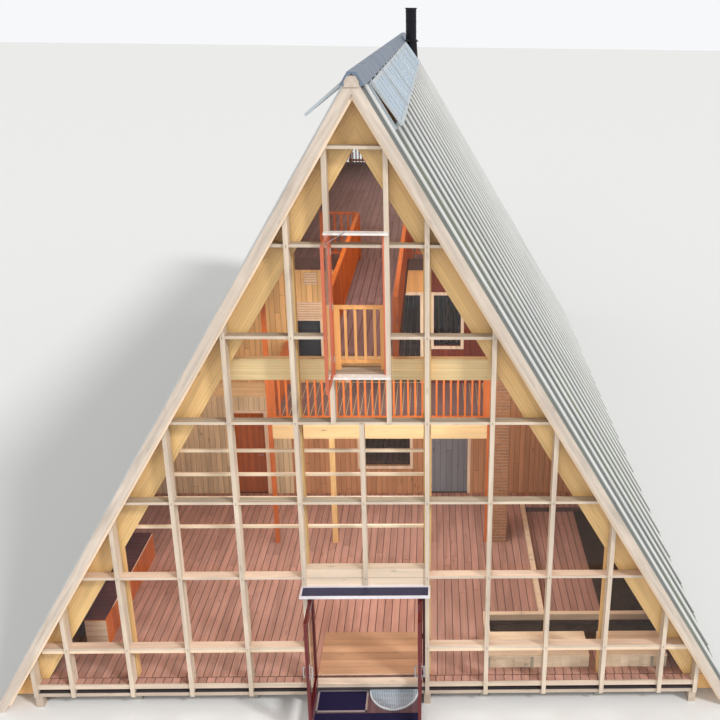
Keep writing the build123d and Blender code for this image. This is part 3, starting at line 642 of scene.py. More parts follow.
def stud(tree, entry):
    """Eight-sided head along Z."""
    return put(tree, "GeometryNodeMeshCone", {"Vertices": 8, "Radius Top": entry["Top"],
                                              "Radius Bottom": entry["Radius"], "Depth": entry["Height"]})


def make_grid_tree(name, shape, *lengths):
    """Copies of one shape on a grid."""
    names = sockets(Int=("Across", "Up"), Vector=("Step Across", "Step Up"), Float=lengths)
    tree, entry = new_group("GeometryNodeTree", name, names, [("Geometry", "Geometry")])
    line, _, row, column = counted(tree, entry["Across"], entry["Up"])
    steps = [put(tree, "ShaderNodeVectorMath", {0: entry[step], "Scale": number}, operation="SCALE")
             for number, step in ((column, "Step Across"), (row, "Step Up"))]
    place = steps[0].vector("ADD", steps[1])
    settle(tree, entry, put(tree, "GeometryNodeInstanceOnPoints",
                            {"Points": moved(tree, line, place), "Instance": shape(tree, entry)}))


def grown(tree_name, **values):
    """Plain mesh that a Geometry Nodes tree makes from its inputs."""
    tree = bpy.data.node_groups[tree_name]
    carrier = bpy.data.objects.new("carrier", bpy.data.meshes.new("carrier"))
    bpy.context.scene.collection.objects.link(carrier)
    modifier = carrier.modifiers.new("nodes", "NODES")
    modifier.node_group = tree
    wanted = {key.replace("_", " "): value for key, value in values.items()}
    for item in tree.interface.items_tree:
        if item.item_type == "SOCKET" and item.in_out == "INPUT" and item.name in wanted:
            modifier[item.identifier] = wanted[item.name]
    bpy.context.view_layer.update()
    graph = bpy.context.evaluated_depsgraph_get()
    mesh = bpy.data.meshes.new_from_object(carrier.evaluated_get(graph))
    carrier.modifiers.remove(modifier)
    bpy.data.objects.remove(carrier)
    mesh.materials.clear()
    mesh.materials.append(values["Material"])
    return mesh


# Meshes and pieces
def piece(name, meshes, body=HOUSE):
    """One visible piece from one or several meshes, riding on a body."""
    builder = bmesh.new()
    tones = builder.verts.layers.float.new("tone")
    materials = []
    for mesh in meshes:
        offset = len(materials)
        materials.extend(mesh.materials)
        before = len(builder.faces)
        start = len(builder.verts)
        values = mesh.attributes.get("tone")
        builder.from_mesh(mesh)
        builder.verts.ensure_lookup_table()
        builder.faces.ensure_lookup_table()
        if values:
            for number, item in enumerate(values.data):
                builder.verts[start + number][tones] = item.value
        for face in builder.faces[before:]:
            face.material_index += offset
    joined = bpy.data.meshes.new(name)
    builder.to_mesh(joined)
    builder.free()
    kept = list(dict.fromkeys(materials))
    for material in kept:
        joined.materials.append(material)
    for polygon in joined.polygons:
        polygon.material_index = kept.index(materials[polygon.material_index])
    made = bpy.data.objects.new(name, joined)
    bpy.context.scene.collection.objects.link(made)
    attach(made, body)


def mesh_of(build, material):
    """Mesh of one material, made by a function that fills a bmesh."""
    builder = bmesh.new()
    build(builder)
    bmesh.ops.recalc_face_normals(builder, faces=builder.faces)
    mesh = bpy.data.meshes.new("part")
    builder.to_mesh(mesh)
    builder.free()
    mesh.materials.append(material)
    return mesh


def add_bar(builder, start, end, radius):
    """Eight-sided bar between two points."""
    axis = Vector(end) - Vector(start)
    turn = axis.to_track_quat("Z", "Y").to_matrix().to_4x4()
    place = Matrix.Translation((Vector(start) + Vector(end)) / 2) @ turn
    bmesh.ops.create_cone(builder, cap_ends=True, segments=8, radius1=radius, radius2=radius,
                          depth=axis.length, matrix=place)


def add_box(builder, low, high):
    """Box between two corners."""
    size = Vector(high) - Vector(low)
    place = Matrix.Translation((Vector(low) + Vector(high)) / 2) @ Matrix.Diagonal((*size, 1.0))
    bmesh.ops.create_cube(builder, size=1.0, matrix=place)


def boxes_mesh(corners, material, edge=0.0015):
    """Mesh of several boxes with broken edges."""
    def build(builder):
        for low, high in corners:
            add_box(builder, low, high)
        if edge:
            bmesh.ops.bevel(builder, geom=builder.edges[:], offset=edge, segments=1, affect="EDGES")
    return mesh_of(build, material)


def prism(builder, points, y0, y1):
    """Closed outline in X and Z, carried from y0 to y1."""
    ends = [[builder.verts.new((x, y, z)) for x, z in points] for y in (y0, y1)]
    builder.faces.new(ends[0])
    builder.faces.new(reversed(ends[1]))
    for number in range(len(points)):
        after = (number + 1) % len(points)
        builder.faces.new((ends[0][number], ends[1][number], ends[1][after], ends[0][after]))


def board_patch(corner, across, run, width, length, material, pitch, gap, height, parts=1, seed=1, loose=0.6,
                stagger=0.0):
    """Boards on a flat rectangle: the rows step along across, each board lies along run."""
    across = Vector(across)
    run = Vector(run)
    basis = Matrix((across, run, across.cross(run))).transposed()
    rows = max(1, round(width / pitch))
    return grown("rows_of_boards", Rows=rows, Parts=parts, Pitch=width / rows, Run=length, Gap=gap,
                 Height=height, Loose=loose, Stagger=stagger, Seed=seed, Place=tuple(corner),
                 Turn=tuple(basis.to_euler()), Material=material)


def floor_boards(x0, x1, y0, y1, z, material, sizes, parts=2, seed=1):
    """Boards along Y over a rectangle of floor."""
    return board_patch((x0, y0, z), (1, 0, 0), (0, 1, 0), x1 - x0, y1 - y0, material, sizes.board_pitch,
                       sizes.board_gap, sizes.board_height, parts, seed)


def face_boards(face, corner, width, length, material, pitch, seed):
    """Whole boards on one face of a box, in the directions that the table gives for it."""
    across, run = FACES[face]
    sizes = bpy.context.scene.cabin_sizes
    return board_patch(corner, across, run, width, length, material, pitch, sizes.board_gap / 2,
                       sizes.board_height, 1, seed)


def bar_row(count, pitch, length, foot, top, height, place, material, turn=(0.0, 0.0, 0.0)):
    """Row of equal bars with sloping sides."""
    return grown("grid_of_bars", Across=1, Up=count, Step_Across=(0.0, 0.0, 0.0), Step_Up=(0.0, pitch, 0.0),
                 Length=length, Foot=foot, Top=top, Height=height, Place=place, Turn=turn, Material=material)


def slope_turn(side, angle=None):
    """Turn that lays X down one slope, Z square off it and Y along the ridge."""
    return (0.0, PITCH if angle is None else angle, 0.0 if side > 0 else math.pi)


# Operators, one for each piece or group of like pieces
class CabinOperator:
    """Shared by the operators: reads the sizes and colours."""

    @property
    def sizes(self):
        return bpy.context.scene.cabin_sizes

    @property
    def colours(self):
        return bpy.context.scene.cabin_colours


class CABIN_OT_gable(CabinOperator, bpy.types.Operator):
    """Finish the timber of both gables, the boards on the roof edges and the lintel"""
    bl_idname = "cabin.gable"
    bl_label = "Gable timber"

    def execute(self, context):
        tone = self.colours
        upright = wood("weathered_upright", "z", tone.upright, top=tone.weathered, contrast=0.28, stain=0.3,
                       knots=0.35)
        # The two lowest rails get paler tops as painted sunlight
        low_rails = TRANSOM_FIRST + 1.5 * TRANSOM_STEP
        rail = wood("weathered_rail", "x", tone.upright, top=tone.weathered, contrast=0.3, stain=0.35,
                    knots=0.4, sunlit_low_top=(low_rails, tone.sunlit_low_top))
        # Painted shadow: just below the plank's foot the strip is dark grey for the shaded gap under the deck
        # edge; lower down it takes a slightly darker strip colour
        plank_foot = DECK_TOP - 0.086
        strip = wood("deck_edge_strip", "x", tone.sill, contrast=0.25, stain=0.25, knots=0.3,
                     regions=[("Z", plank_foot, False, on_screen(0.30, 0.27, 0.28)),
                              ("Z", plank_foot - 0.08, False, darker(tone.sill, 0.8))])
        barge = wood("weathered_barge", "slope", tone.barge, contrast=0.3, stain=0.35, coarse=14.0, knots=0.4)
        cream = wood("cream_board", "x", tone.cream, contrast=0.18, stain=0.15, laminate=0.17, knots=0.4)
        batten = wood("cream_batten", "slope", tone.cream, contrast=0.2, stain=0.2, knots=0.5)
        dress(upright, "front_mullions", "back_mullions")
        dress(rail, "front_transoms", "back_transoms", "gate_sill")
        dress(strip, "front_sill", "back_sill", "door_threshold")
        dress(barge, "barge_boards_front", "barge_boards_back")
        dress(cream, "door_lintel")
        dress(batten, "rake_battens")
        dress(paint("white_ledge", tone.ledge, rough=0.4, along="x"), "upper_ledges")
        self.fasten()
        return {"FINISHED"}

    def fasten(self):
        """Screws where the uprights cross the rails, sealing strips and boards under the rails."""
        steel = metal("screw_metal", on_screen(0.50, 0.47, 0.43), along="z", streak=0.2)
        seal = metal("sealing_strip", on_screen(0.55, 0.58, 0.58), metallic=0.2, along="x", streak=0.2)
        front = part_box("front_mullions")[0].y
        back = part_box("back_mullions")[1].y
        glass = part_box("front_glass")[0].y
        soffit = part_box("front_rafters")[1].z
        bays = int(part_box("front_mullions")[1].x // BAY)
        spacing = 0.024
        strip_deep = 0.02
        strip_high = 0.014
        board_high = 0.055
        board_thick = 0.025

        def reach(z):
            """Half the width of the gable under the rafters at a height."""
            return (soffit - z) / math.tan(PITCH)

        screws = []
        for number in range(-bays, bays + 1):
            x = number * BAY
            rails = [k for k in range(TRANSOM_COUNT)
                     if reach(TRANSOM_FIRST + k * TRANSOM_STEP) > abs(x) + spacing]
            if not number:
                rails = rails[1:3]
            if not rails:
                continue
            foot = TRANSOM_FIRST + rails[0] * TRANSOM_STEP
            for y, face in ((front, 1), (back, -1)):
                screws.append(grown(
                    "grid_of_studs", Across=2, Up=len(rails), Step_Across=(0.0, face * spacing, 0.0),
                    Step_Up=(0.0, face * TRANSOM_STEP, 0.0), Radius=self.sizes.screw_head / 2,
                    Top=self.sizes.screw_head / 3, Height=0.003, Place=(x, y, foot - spacing / 2),
                    Turn=(face * math.pi / 2, 0.0, 0.0), Material=steel))
        piece("gable_screws", screws)
        strips = []
        for number in range(TRANSOM_COUNT):
            z = TRANSOM_FIRST + number * TRANSOM_STEP - TRANSOM_HEIGHT / 2
            end = reach(z) - 0.03
            spans = [(-end, end)]
            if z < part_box("door_lintel")[1].z:
                spans = [(-end, -BAY), (BAY, end)]
            elif number == CASEMENT_RAIL:
                spans = [(-end, -CASEMENT_HALF), (CASEMENT_HALF, end)]
            strips.extend(((x0, glass - strip_deep, z - strip_high), (x1, glass - 0.001, z))
                          for x0, x1 in spans)
        piece("sealing_strips", [boxes_mesh(strips, seal, 0.0)])
        fascia = wood("low_rail_board", "x", self.colours.pale, contrast=0.2, stain=0.3)
        head = TRANSOM_FIRST - TRANSOM_HEIGHT / 2
        end = reach(head) - 0.06
        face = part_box("front_transoms")[0].y + 0.002
        boards = [((x0, face, head - board_high), (x1, face + board_thick, head))
                  for x0, x1 in ((-end, -BAY), (BAY, end))]
        piece("low_rail_boards", [boxes_mesh(boards, fascia)])


class CABIN_OT_frames(CabinOperator, bpy.types.Operator):
    """Finish the laminated timber behind the glass, the lining and the roof deck"""
    bl_idname = "cabin.frames"
    bl_label = "Laminated timber and lining"

    def execute(self, context):
        tone = self.colours
        slope = wood("glulam_slope", "slope", tone.glulam, laminate=0.045, stain=0.15, contrast=0.22)
        post = wood("glulam_post", "z", tone.glulam, laminate=0.045, stain=0.15, contrast=0.22)
        beam = wood("glulam_beam", "x", tone.beam, laminate=0.045, stain=0.15, contrast=0.18)
        lining = wood("lining_plywood", "slope", tone.plywood, stain=0.25, contrast=0.3, coarse=5.0,
                      panels=(1.2, 2.4, 0.004), regions=[("Z", 1.1, False, tone.skirting)], knots=0.5)
        deck = wood("roof_boards", "slope", tone.glulam, stain=0.3, contrast=0.3)
        dress(slope, "front_rafters")
        dress(post, "front_posts", "back_frame")
        dress(beam, "tie_beam", "first_floor")
        dress(lining, "lining_left", "lining_right")
        dress(deck, "roof_left", "roof_right")
        return {"FINISHED"}


class CABIN_OT_roof(CabinOperator, bpy.types.Operator):
    """Finish the roof metal and add the small folds, screws, bars and straps on it"""
    bl_idname = "cabin.roof"
    bl_label = "Roof metal"

    def execute(self, context):
        tone = self.colours
        sheet = metal("roof_sheet_metal", tone.sheet, rough=0.52, metallic=0.15, ribs=tone.rib_highlight)
        cap = metal("blue_grey_metal", tone.cap, rough=0.35, streak=0.25)
        frame_metal = metal("vent_metal", tone.vent, rough=0.33, metallic=0.5, streak=0.3)
        black = metal("flue_black", on_screen(0.16, 0.16, 0.18), rough=0.38, along="z", streak=0.3)
        dress(sheet, "roof_sheets_left", "roof_sheets_right")
        dress(cap, "ridge_cap")
        dress(frame_metal, "vent_curbs", "vent_frames")
        dress(tinted_pane("vent_pane", on_screen(0.72, 0.83, 0.93)), "vent_glass")
        dress(black, "flue")
        self.sheets(sheet)
        self.vents(frame_metal)
        self.ridge(cap)
        self.flue(black)
        return {"FINISHED"}

    def sheets(self, material):
        """Small folds between the ribs of the sheets, and screws along the ribs."""
        sizes = self.sizes
        clear = 0.1
        foot = (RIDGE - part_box("roof_right")[0].z) / math.sin(PITCH) - 0.03
        below_vents = VENT_HEAD + VENT_SLOPE + clear
        first_rib = ROOF_START + RIB_PITCH / 2
        folds = round(RIB_PITCH / sizes.swage_pitch) - 1
        screw_pitch = 0.6
        swages = []
        screws = []
        for side in (-1, 1):
            x, z = on_slope(side, below_vents, SHEET_LIFT + sizes.swage_height / 2)
            swages.append(grown(
                "grid_of_bars", Across=RIB_COUNT, Up=folds, Step_Across=(0.0, side * RIB_PITCH, 0.0),
                Step_Up=(0.0, side * sizes.swage_pitch, 0.0), Length=foot - below_vents, Foot=0.05, Top=0.02,
                Height=sizes.swage_height, Place=(x, first_rib + sizes.swage_pitch, z), Turn=slope_turn(side),
                Material=material))
            x, z = on_slope(side, below_vents + clear, RIB_LIFT)
            screws.append(grown(
                "grid_of_studs", Across=RIB_COUNT, Up=int((foot - below_vents - clear) / screw_pitch) + 1,
                Step_Across=(0.0, side * RIB_PITCH, 0.0), Step_Up=(screw_pitch, 0.0, 0.0),
                Radius=sizes.screw_head / 2, Top=sizes.screw_head / 4, Height=0.005, Place=(x, first_rib, z),
                Turn=slope_turn(side), Material=material))
        piece("roof_swages", swages)
        piece("roof_screws", screws)

    def vents(self, material):
        """Glazing bars and hinges of the roof vents."""
        low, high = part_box("vent_curbs")
        length = (high.y - low.y - (VENT_COUNT - 1) * VENT_GAP) / VENT_COUNT
        border = 0.06
        bars_each = 3
        knuckle = 0.014
        knuckle_half = 0.06
        bars = []
        hinges = []
        for side in (-1, 1):
            angle = PITCH - VENT_LIFTS[side]
            hinge_x, hinge_z = on_slope(side, VENT_HEAD, RIB_LIFT)
            across = VENT_DEPTH - 0.006
            x = hinge_x + side * (border * math.cos(angle) + across * math.sin(angle))
            z = hinge_z - border * math.sin(angle) + across * math.cos(angle)
            step = length / (bars_each + 1)
            bars.append(grown(
                "grid_of_bars", Across=bars_each, Up=VENT_COUNT, Step_Across=(0.0, side * step, 0.0),
                Step_Up=(0.0, side * (length + VENT_GAP), 0.0), Length=VENT_SLOPE - 2 * border, Foot=0.045,
                Top=0.025, Height=0.02, Place=(x, low.y + step, z), Turn=slope_turn(side, angle),
                Material=material))
            for number in range(VENT_COUNT):
                start = low.y + number * (length + VENT_GAP)
                hinges.extend((hinge_x, start + share * length, hinge_z) for share in HINGE_SHARES)

        def knuckles(builder):
            for x, y, z in hinges:
                add_bar(builder, (x, y - knuckle_half, z), (x, y + knuckle_half, z), knuckle)
        piece("vent_glazing_bars", bars)
        piece("vent_hinges", [mesh_of(knuckles, material)])

    def ridge(self, material):
        """Straps over the laps of the ridge cap."""
        proud = 0.003
        lap = 2.0
        strap_half = 0.04
        plate_thick = 0.01
        crown_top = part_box("ridge_cap")[1].z
        crown = (RIDGE + CAP_LIFT / math.cos(PITCH) - crown_top) / math.tan(PITCH)
        low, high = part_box("ridge_cap")

        def line(reach, out):
            """Outline of the cap from side to side, moved out by a distance."""
            left, right = (on_slope(side, reach, CAP_LIFT + out) for side in (-1, 1))
            return [left, (-crown, crown_top + out), (crown, crown_top + out), right]

        strap = line(CAP_REACH, proud) + line(CAP_REACH, -proud)[::-1]

        def build(builder):
            y = low.y + lap
            while y < high.y - lap / 2:
                prism(builder, strap, y - strap_half, y + strap_half)
                y += lap
        piece("ridge_cap_straps", [mesh_of(build, material)])
        reach = CAP_REACH - 0.02
        closing = line(reach, -0.01) + [
            on_slope(1, reach, SHEET_LIFT), (0.0, RIDGE + SHEET_LIFT / math.cos(PITCH)),
            on_slope(-1, reach, SHEET_LIFT)]

        def plates(builder):
            for y in (low.y + 0.004, high.y - 0.014):
                prism(builder, closing, y, y + plate_thick)
        piece("ridge_cap_ends", [mesh_of(plates, material)])

    def flue(self, material):
        """Flashing, storm collar and bands of the flue."""
        low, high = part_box("flue")
        middle = (low + high) / 2
        rim = 0.02
        radius = high.x - middle.x - rim
        distance = middle.x / math.cos(PITCH)
        half_down = 0.42
        half_along = 0.38
        corners = ((-half_down, 0.01), (-half_down, 0.02), (half_down, 0.02), (half_down, 0.01))
        plate = [on_slope(1, distance + down, lift) for down, lift in corners]
        # Cone, storm collar and bands: place in Z, height, and how far the foot and the top stand out
        rings = [(9.95, 0.62, 0.05, 0.012), (10.29, 0.07, 0.08, 0.008)]
        rings += [(z, 0.035, 0.006, 0.006) for z in (10.56, 10.86, 11.16)]

        def build(builder):
            prism(builder, plate, middle.y - half_along, middle.y + half_along)
            for z, height, foot, top in rings:
                bmesh.ops.create_cone(builder, cap_ends=True, segments=48, radius1=radius + foot,
                                      radius2=radius + top, depth=height,
                                      matrix=Matrix.Translation((middle.x, middle.y, z)))
        piece("flue_fittings", [mesh_of(build, material)])


class CABIN_OT_floors(CabinOperator, bpy.types.Operator):
    """Lay the boards of the ground floor, the first floor, the loft and the walkway"""
    bl_idname = "cabin.floors"
    bl_label = "Floor boards"

    def execute(self, context):
        tone = self.colours
        sizes = self.sizes
        # Painted shade: the decks under the boards are a quarter as bright as the boards, so the gaps between
        # boards read dark
        under = wood("deck_under_shade", "y", darker(tone.deck, 0.25), contrast=0.3)
        deck = wood("deck_board", "y", tone.deck, tone_attribute=True, contrast=0.3, stain=0.3, knots=0.5)
        loft = wood("loft_board", "y", tone.loft, tone_attribute=True, contrast=0.25, stain=0.3, knots=0.3)
        dress(under, "ground_deck", "loft_floor", "walkway")
        edge = half_width(DECK_TOP) - 0.01
        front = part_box("front_rafters")[0].y - 0.02
        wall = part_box("ground_wall")[0].y
        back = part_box("lining_right")[1].y
        fields = [
            (-edge, BED_LEFT, front, wall, 2),
            (BED_LEFT, edge, front, BED_FRONT, 1),
            (BED_LEFT, SIDE_BED_LEFT, BED_BACK, wall, 1),
            (SIDE_BED_LEFT, edge, SIDE_BED_BACK, wall, 1),
            (-edge, edge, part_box("ground_wall")[1].y, back, 4),
        ]
        meshes = []
        for number, (x0, x1, y0, y1, parts) in enumerate(fields):
            meshes.append(floor_boards(x0, x1, y0, y1, DECK_TOP, deck, sizes, parts, number + 1))
        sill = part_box("front_sill")
        for x0, x1 in ((sill[0].x + 0.1, -BAY), (BAY, sill[1].x - 0.1)):
            y0 = sill[0].y + 0.03
            meshes.append(floor_boards(x0, x1, y0, sill[1].y, DECK_TOP, deck, sizes, 1, 6))
            # Thin sheet in the dark under colour below these boards: painted shade in their gaps
            meshes.append(boxes_mesh([((x0, y0, DECK_TOP), (x1, sill[1].y, DECK_TOP + 0.001))], under, 0.0))
        meshes.append(floor_boards(*SIDE_BED_BOARDS, BED_FLOOR, deck, sizes, 1, 7))
        piece("ground_floor_boards", meshes)
        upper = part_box("first_floor")
        room_half = half_width(FIRST_FLOOR_TOP) - 0.01
        first = [floor_boards(-2.2, 2.2, upper[0].y, wall, FIRST_FLOOR_TOP, loft, sizes, 1, 11),
                 floor_boards(-room_half, room_half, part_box("first_floor_wall")[1].y, back, FIRST_FLOOR_TOP,
                              loft, sizes, 4, 12)]
        piece("first_floor_boards", first)
        low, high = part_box("loft_floor")
        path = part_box("walkway")
        loft_half = half_width(LOFT_TOP) - 0.01
        lofts = [floor_boards(-loft_half, loft_half, low.y, high.y, LOFT_TOP, loft, sizes, 3, 21),
                 floor_boards(path[0].x, path[1].x, path[0].y, path[1].y, LOFT_TOP, loft, sizes, 2, 22)]
        piece("loft_boards", lofts)
        self.earth()
        return {"FINISHED"}

    def earth(self):
        """Uneven dark earth in the two planting beds."""
        soil = stone("bed_soil", on_screen(0.25, 0.19, 0.15), 22.0, 0.006, rough=0.95, spots=0.6)
        step = 0.05

        def build(builder):
            for x0, x1, y0, y1 in BED_EARTH:
                columns = round((x1 - x0) / step)
                rows = round((y1 - y0) / step)
                under = {}
                over = {}
                for sheet in (under, over):
                    for i, j in product(range(columns + 1), range(rows + 1)):
                        x = x0 + (x1 - x0) * i / columns
                        y = y0 + (y1 - y0) * j / rows
                        rise = 0.024 + 0.016 * noise.noise((2.6 * x, 2.6 * y, 0.0))
                        rise += 0.008 * noise.noise((11.0 * x, 11.0 * y, 3.0))
                        z = BED_FLOOR + (rise if sheet is over else 0.001)
                        sheet[i, j] = builder.verts.new((x, y, z))
                for i, j in product(range(columns), range(rows)):
                    ring = ((i, j), (i + 1, j), (i + 1, j + 1), (i, j + 1))
                    builder.faces.new([over[key] for key in ring])
                    builder.faces.new([under[key] for key in reversed(ring)])
                border = [((i, j), (i + 1, j)) for i in range(columns) for j in (0, rows)]
                border += [((i, j), (i, j + 1)) for i in (0, columns) for j in range(rows)]
                for first, second in border:
                    builder.faces.new((under[first], under[second], over[second], over[first]))
        piece("bed_earth", [mesh_of(build, soil)])


class CABIN_OT_joinery(CabinOperator, bpy.types.Operator):
    """Finish the balustrades, posts, walls and the boxes on the deck"""
    bl_idname = "cabin.joinery"
    bl_label = "Balustrades, posts and walls"

    def execute(self, context):
        tone = self.colours
        stain = wood("orange_stain", "z", tone.stain, contrast=0.3, stain=0.25, roughness=0.45, coat=0.1)
        gate = wood("gate_timber", "z", tone.gate, contrast=0.25, stain=0.2, roughness=0.5)
        pale = wood("pale_timber", "x", tone.pale, contrast=0.2, stain=0.25)
        narrow = (0.12, 6.0, 0.003)
        upper = wood("upper_wall_boards", "z", tone.glulam, contrast=0.25, stain=0.2, panels=narrow,
                     regions=[("X", BAY, True, tone.wall)])
        # Left of X -2.2 the wall boards are paler: partly their own colour, partly painted sunlight
        lower = wood("lower_wall_boards", "z", tone.room, contrast=0.25, stain=0.2, panels=narrow,
                     regions=[("X", -2.2 * BAY, False, tone.pale_sunlit_wall)])
        leaves = wood("room_door_boards", "z", on_screen(0.56, 0.57, 0.60), contrast=0.15, stain=0.15,
                      panels=(0.14, 5.0, 0.003), regions=[("X", 0.0, False, darker(tone.stain, 0.8))],
                      roughness=0.45)
        dress(stain, "first_floor_balustrade", "walkway_balustrades", "loft_balustrade", "terrace_posts")
        dress(gate, "gate_balustrade")
        dress(pale, "deck_boxes", "trellis_rails", "door_floor_panel")
        dress(upper, "first_floor_wall")
        dress(lower, "ground_wall")
        dress(leaves, "wall_doors")
        dress(stone("concrete", on_screen(0.62, 0.61, 0.58), 30.0, 0.002), "plinths")
        self.boxes()
        self.walls()
        self.end_rail(stain)
        return {"FINISHED"}

    def boxes(self):
        """Boards on the bench, on the planter boxes and on the panel behind the door."""
        tone = self.colours
        pale = wood("lid_board", "x", tone.pale, tone_attribute=True, contrast=0.2, stain=0.2, knots=0.5)
        panel = wood("panel_board", "x", on_screen(0.80, 0.63, 0.50), tone_attribute=True, contrast=0.2,
                     stain=0.2, knots=0.4)
        orange = wood("bench_board", "z", tone.stain, tone_attribute=True, contrast=0.25, stain=0.2)
        grey = wood("cleat_timber", "z", tone.weathered, contrast=0.25)
        plum = wood("bench_lid_dark", "x", on_screen(0.36, 0.20, 0.24), tone_attribute=True, contrast=0.2)
        low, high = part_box("deck_boxes")
        lid = 0.03
        reach = 0.02
        inner = -4.72
        bench_front = 1.08
        bench_back = 4.0
        bench_top = high.z
        planters = [(BED_LEFT, 3.83), (4.06, 5.2)]
        cleat_places = (2.07, 2.83, 4.94, 5.16)
        planter_top = DECK_TOP + 0.26
        core = boxes_mesh([((low.x, bench_front, DECK_TOP), (inner, bench_back, bench_top))], orange, 0.0)
        lid_front = bench_front - reach
        bench_height = bench_top - lid - DECK_TOP
        bench_foot = (inner, bench_front, DECK_TOP)
        width = inner - low.x
        meshes = [core, face_boards("lying_front", bench_foot, bench_height, width, pale, 0.11, 33),
                  face_boards("top", (inner, lid_front, bench_top), bench_back - lid_front, width, plum, 0.14,
                              32),
                  face_boards("right", bench_foot, bench_back - bench_front, bench_height, orange, 0.1, 34)]
        planter_face = low.y + reach
        planter_head = planter_top - lid
        for number, (x0, x1) in enumerate(planters):
            meshes.append(face_boards("top", (x1, low.y, planter_top), BED_FRONT - low.y, x1 - x0, pale, 0.13,
                                      35 + number))
            meshes.append(face_boards("front", (x0, planter_face, DECK_TOP), x1 - x0, planter_head - DECK_TOP,
                                      pale, 0.16, 37 + number))
        cleats = [((x - 0.025, planter_face - 0.014, DECK_TOP), (x + 0.025, planter_face, planter_head))
                  for x in cleat_places]
        meshes.append(boxes_mesh(cleats, grey))
        piece("box_boards", meshes)
        low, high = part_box("door_floor_panel")
        planks = face_boards("top", (high.x, low.y, high.z), high.y - low.y, high.x - low.x, panel, 0.19, 41)
        piece("door_panel_planks", [planks])

    def end_rail(self, material):
        """Low rail under the slopes at the far end of the loft."""
        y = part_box("loft_floor")[1].y - 0.06
        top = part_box("loft_balustrade")[1].z
        half = 0.02
        pitch = 0.11
        start = 1.30
        count = math.ceil((half_width(LOFT_TOP) - 0.06 - start) / pitch)
        corners = []
        for side, number in product((-1, 1), range(count)):
            x = side * (start + number * pitch)
            head = min(top, INNER_APEX - (abs(x) + half) * math.tan(PITCH)) - 0.01
            corners.append(((x - half, y - half, LOFT_TOP), (x + half, y + half, head)))
        foot = half_width(LOFT_TOP + 0.12) - 0.02
        corners.append(((-foot, y - half - 0.012, LOFT_TOP + 0.05), (foot, y - half, LOFT_TOP + 0.12)))
        piece("loft_end_rail", [boxes_mesh(corners, material)])

    def walls(self):
        """Frames of the doors and windows in the room walls, and the panels beside them."""
        tone = self.colours
        trim = paint("wall_trim", darker(tone.pale, 0.9), rough=0.4)
        dark = paint("dark_trim", on_screen(0.20, 0.16, 0.17), rough=0.35)
        steel = metal("door_handle_steel", on_screen(0.75, 0.75, 0.77), rough=0.25, along="z")
        sheet = wood("wall_panel", "z", tone.gate, contrast=0.25, stain=0.2, knots=0.5)
        slat = wood("wall_slats", "x", tone.pale, contrast=0.2)
        # Near-black pane: painted shade of a dark room behind the small window
        pane = tinted_pane("room_shade_pane", on_screen(0.14, 0.17, 0.20))
        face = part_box("ground_wall")[0].y
        sunk = face + 0.001
        head = 2.08
        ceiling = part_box("loft_floor")[0].z - 0.01
        border = 0.07
        proud = 0.015
        ground = DECK_TOP
        upper = FIRST_FLOOR_TOP
        openings = [(-3.5, -2.8, ground, ground + head), (1.0, 1.9, ground, ground + head),
                    (-0.6, 0.55, ground + 0.73, ground + head), (-0.8, 0.8, upper, upper + head),
                    (1.1, 1.7, upper + 0.9, upper + head)]
        frames = []
        bars = []
        for x0, x1, z0, z1 in openings:
            frames.append(((x0 - border, face - proud, z0), (x0, sunk, z1)))
            frames.append(((x1, face - proud, z0), (x1 + border, sunk, z1)))
            frames.append(((x0 - border, face - proud, z1), (x1 + border, sunk, z1 + border)))
            if z0 not in (ground, upper):
                frames.append(((x0 - border, face - 2 * proud, z0 - border), (x1 + border, sunk, z0)))
        middle = face + 0.1
        half = 0.022
        for x0, x1, z0, z1 in openings[2:]:
            edges = [x0 + half, (x0 + x1) / 2, x1 - half]
            bars.extend(((x - half, middle - 0.03, z0), (x + half, middle - 0.009, z1)) for x in edges)
            for z in (z0 + half, z1 - half):
                bars.append(((x0, middle - 0.03, z - half), (x1, middle - 0.009, z + half)))
        piece("room_opening_frames", [boxes_mesh(frames, trim)])
        piece("room_glazing_bars", [boxes_mesh(bars, dark)])
        x0, x1, z0, z1 = -1.92, -1.41, upper + 0.58, upper + 1.49
        ring = 0.04
        near = face - 0.03
        edge = [((x0 - ring, near, z0 - ring), (x0, sunk, z1 + ring)),
                ((x1, near, z0 - ring), (x1 + ring, sunk, z1 + ring)),
                ((x0, near, z1), (x1, sunk, z1 + ring)), ((x0, near, z0 - ring), (x1, sunk, z0))]
        glass = [((x0, face - 0.008, z0), (x1, sunk, z1))]
        piece("small_window", [boxes_mesh(edge, trim), boxes_mesh(glass, pane, 0.0)])
        board = ((0.45, face - 0.012, upper + head + border), (0.89, sunk, ceiling))
        meshes = [boxes_mesh([board], sheet)]
        slatted = [(-1.90, -1.37, upper + 1.53, upper + 1.92), (-1.73, -1.45, upper + 2.31, ceiling)]
        pitch = 0.055
        for x0, x1, z0, z1 in slatted:
            meshes.append(bar_row(int((z1 - z0) / pitch), pitch, x1 - x0, foot=0.045, top=0.035, height=0.018,
                                  place=(x0, face - 0.009, z0 + pitch / 2), material=slat,
                                  turn=(math.pi / 2, 0.0, 0.0)))
        piece("wall_panels", meshes)

        def handles(builder):
            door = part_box("wall_doors")[0].y
            lever = 0.1
            grip = door - 0.045
            z = ground + 1.0
            for x in (-2.87, 1.09):
                add_bar(builder, (x, door + 0.002, z), (x, door - 0.05, z), 0.009)
                add_bar(builder, (x, grip, z), (x - lever, grip, z), 0.008)
        piece("room_door_handles", [mesh_of(handles, steel)])


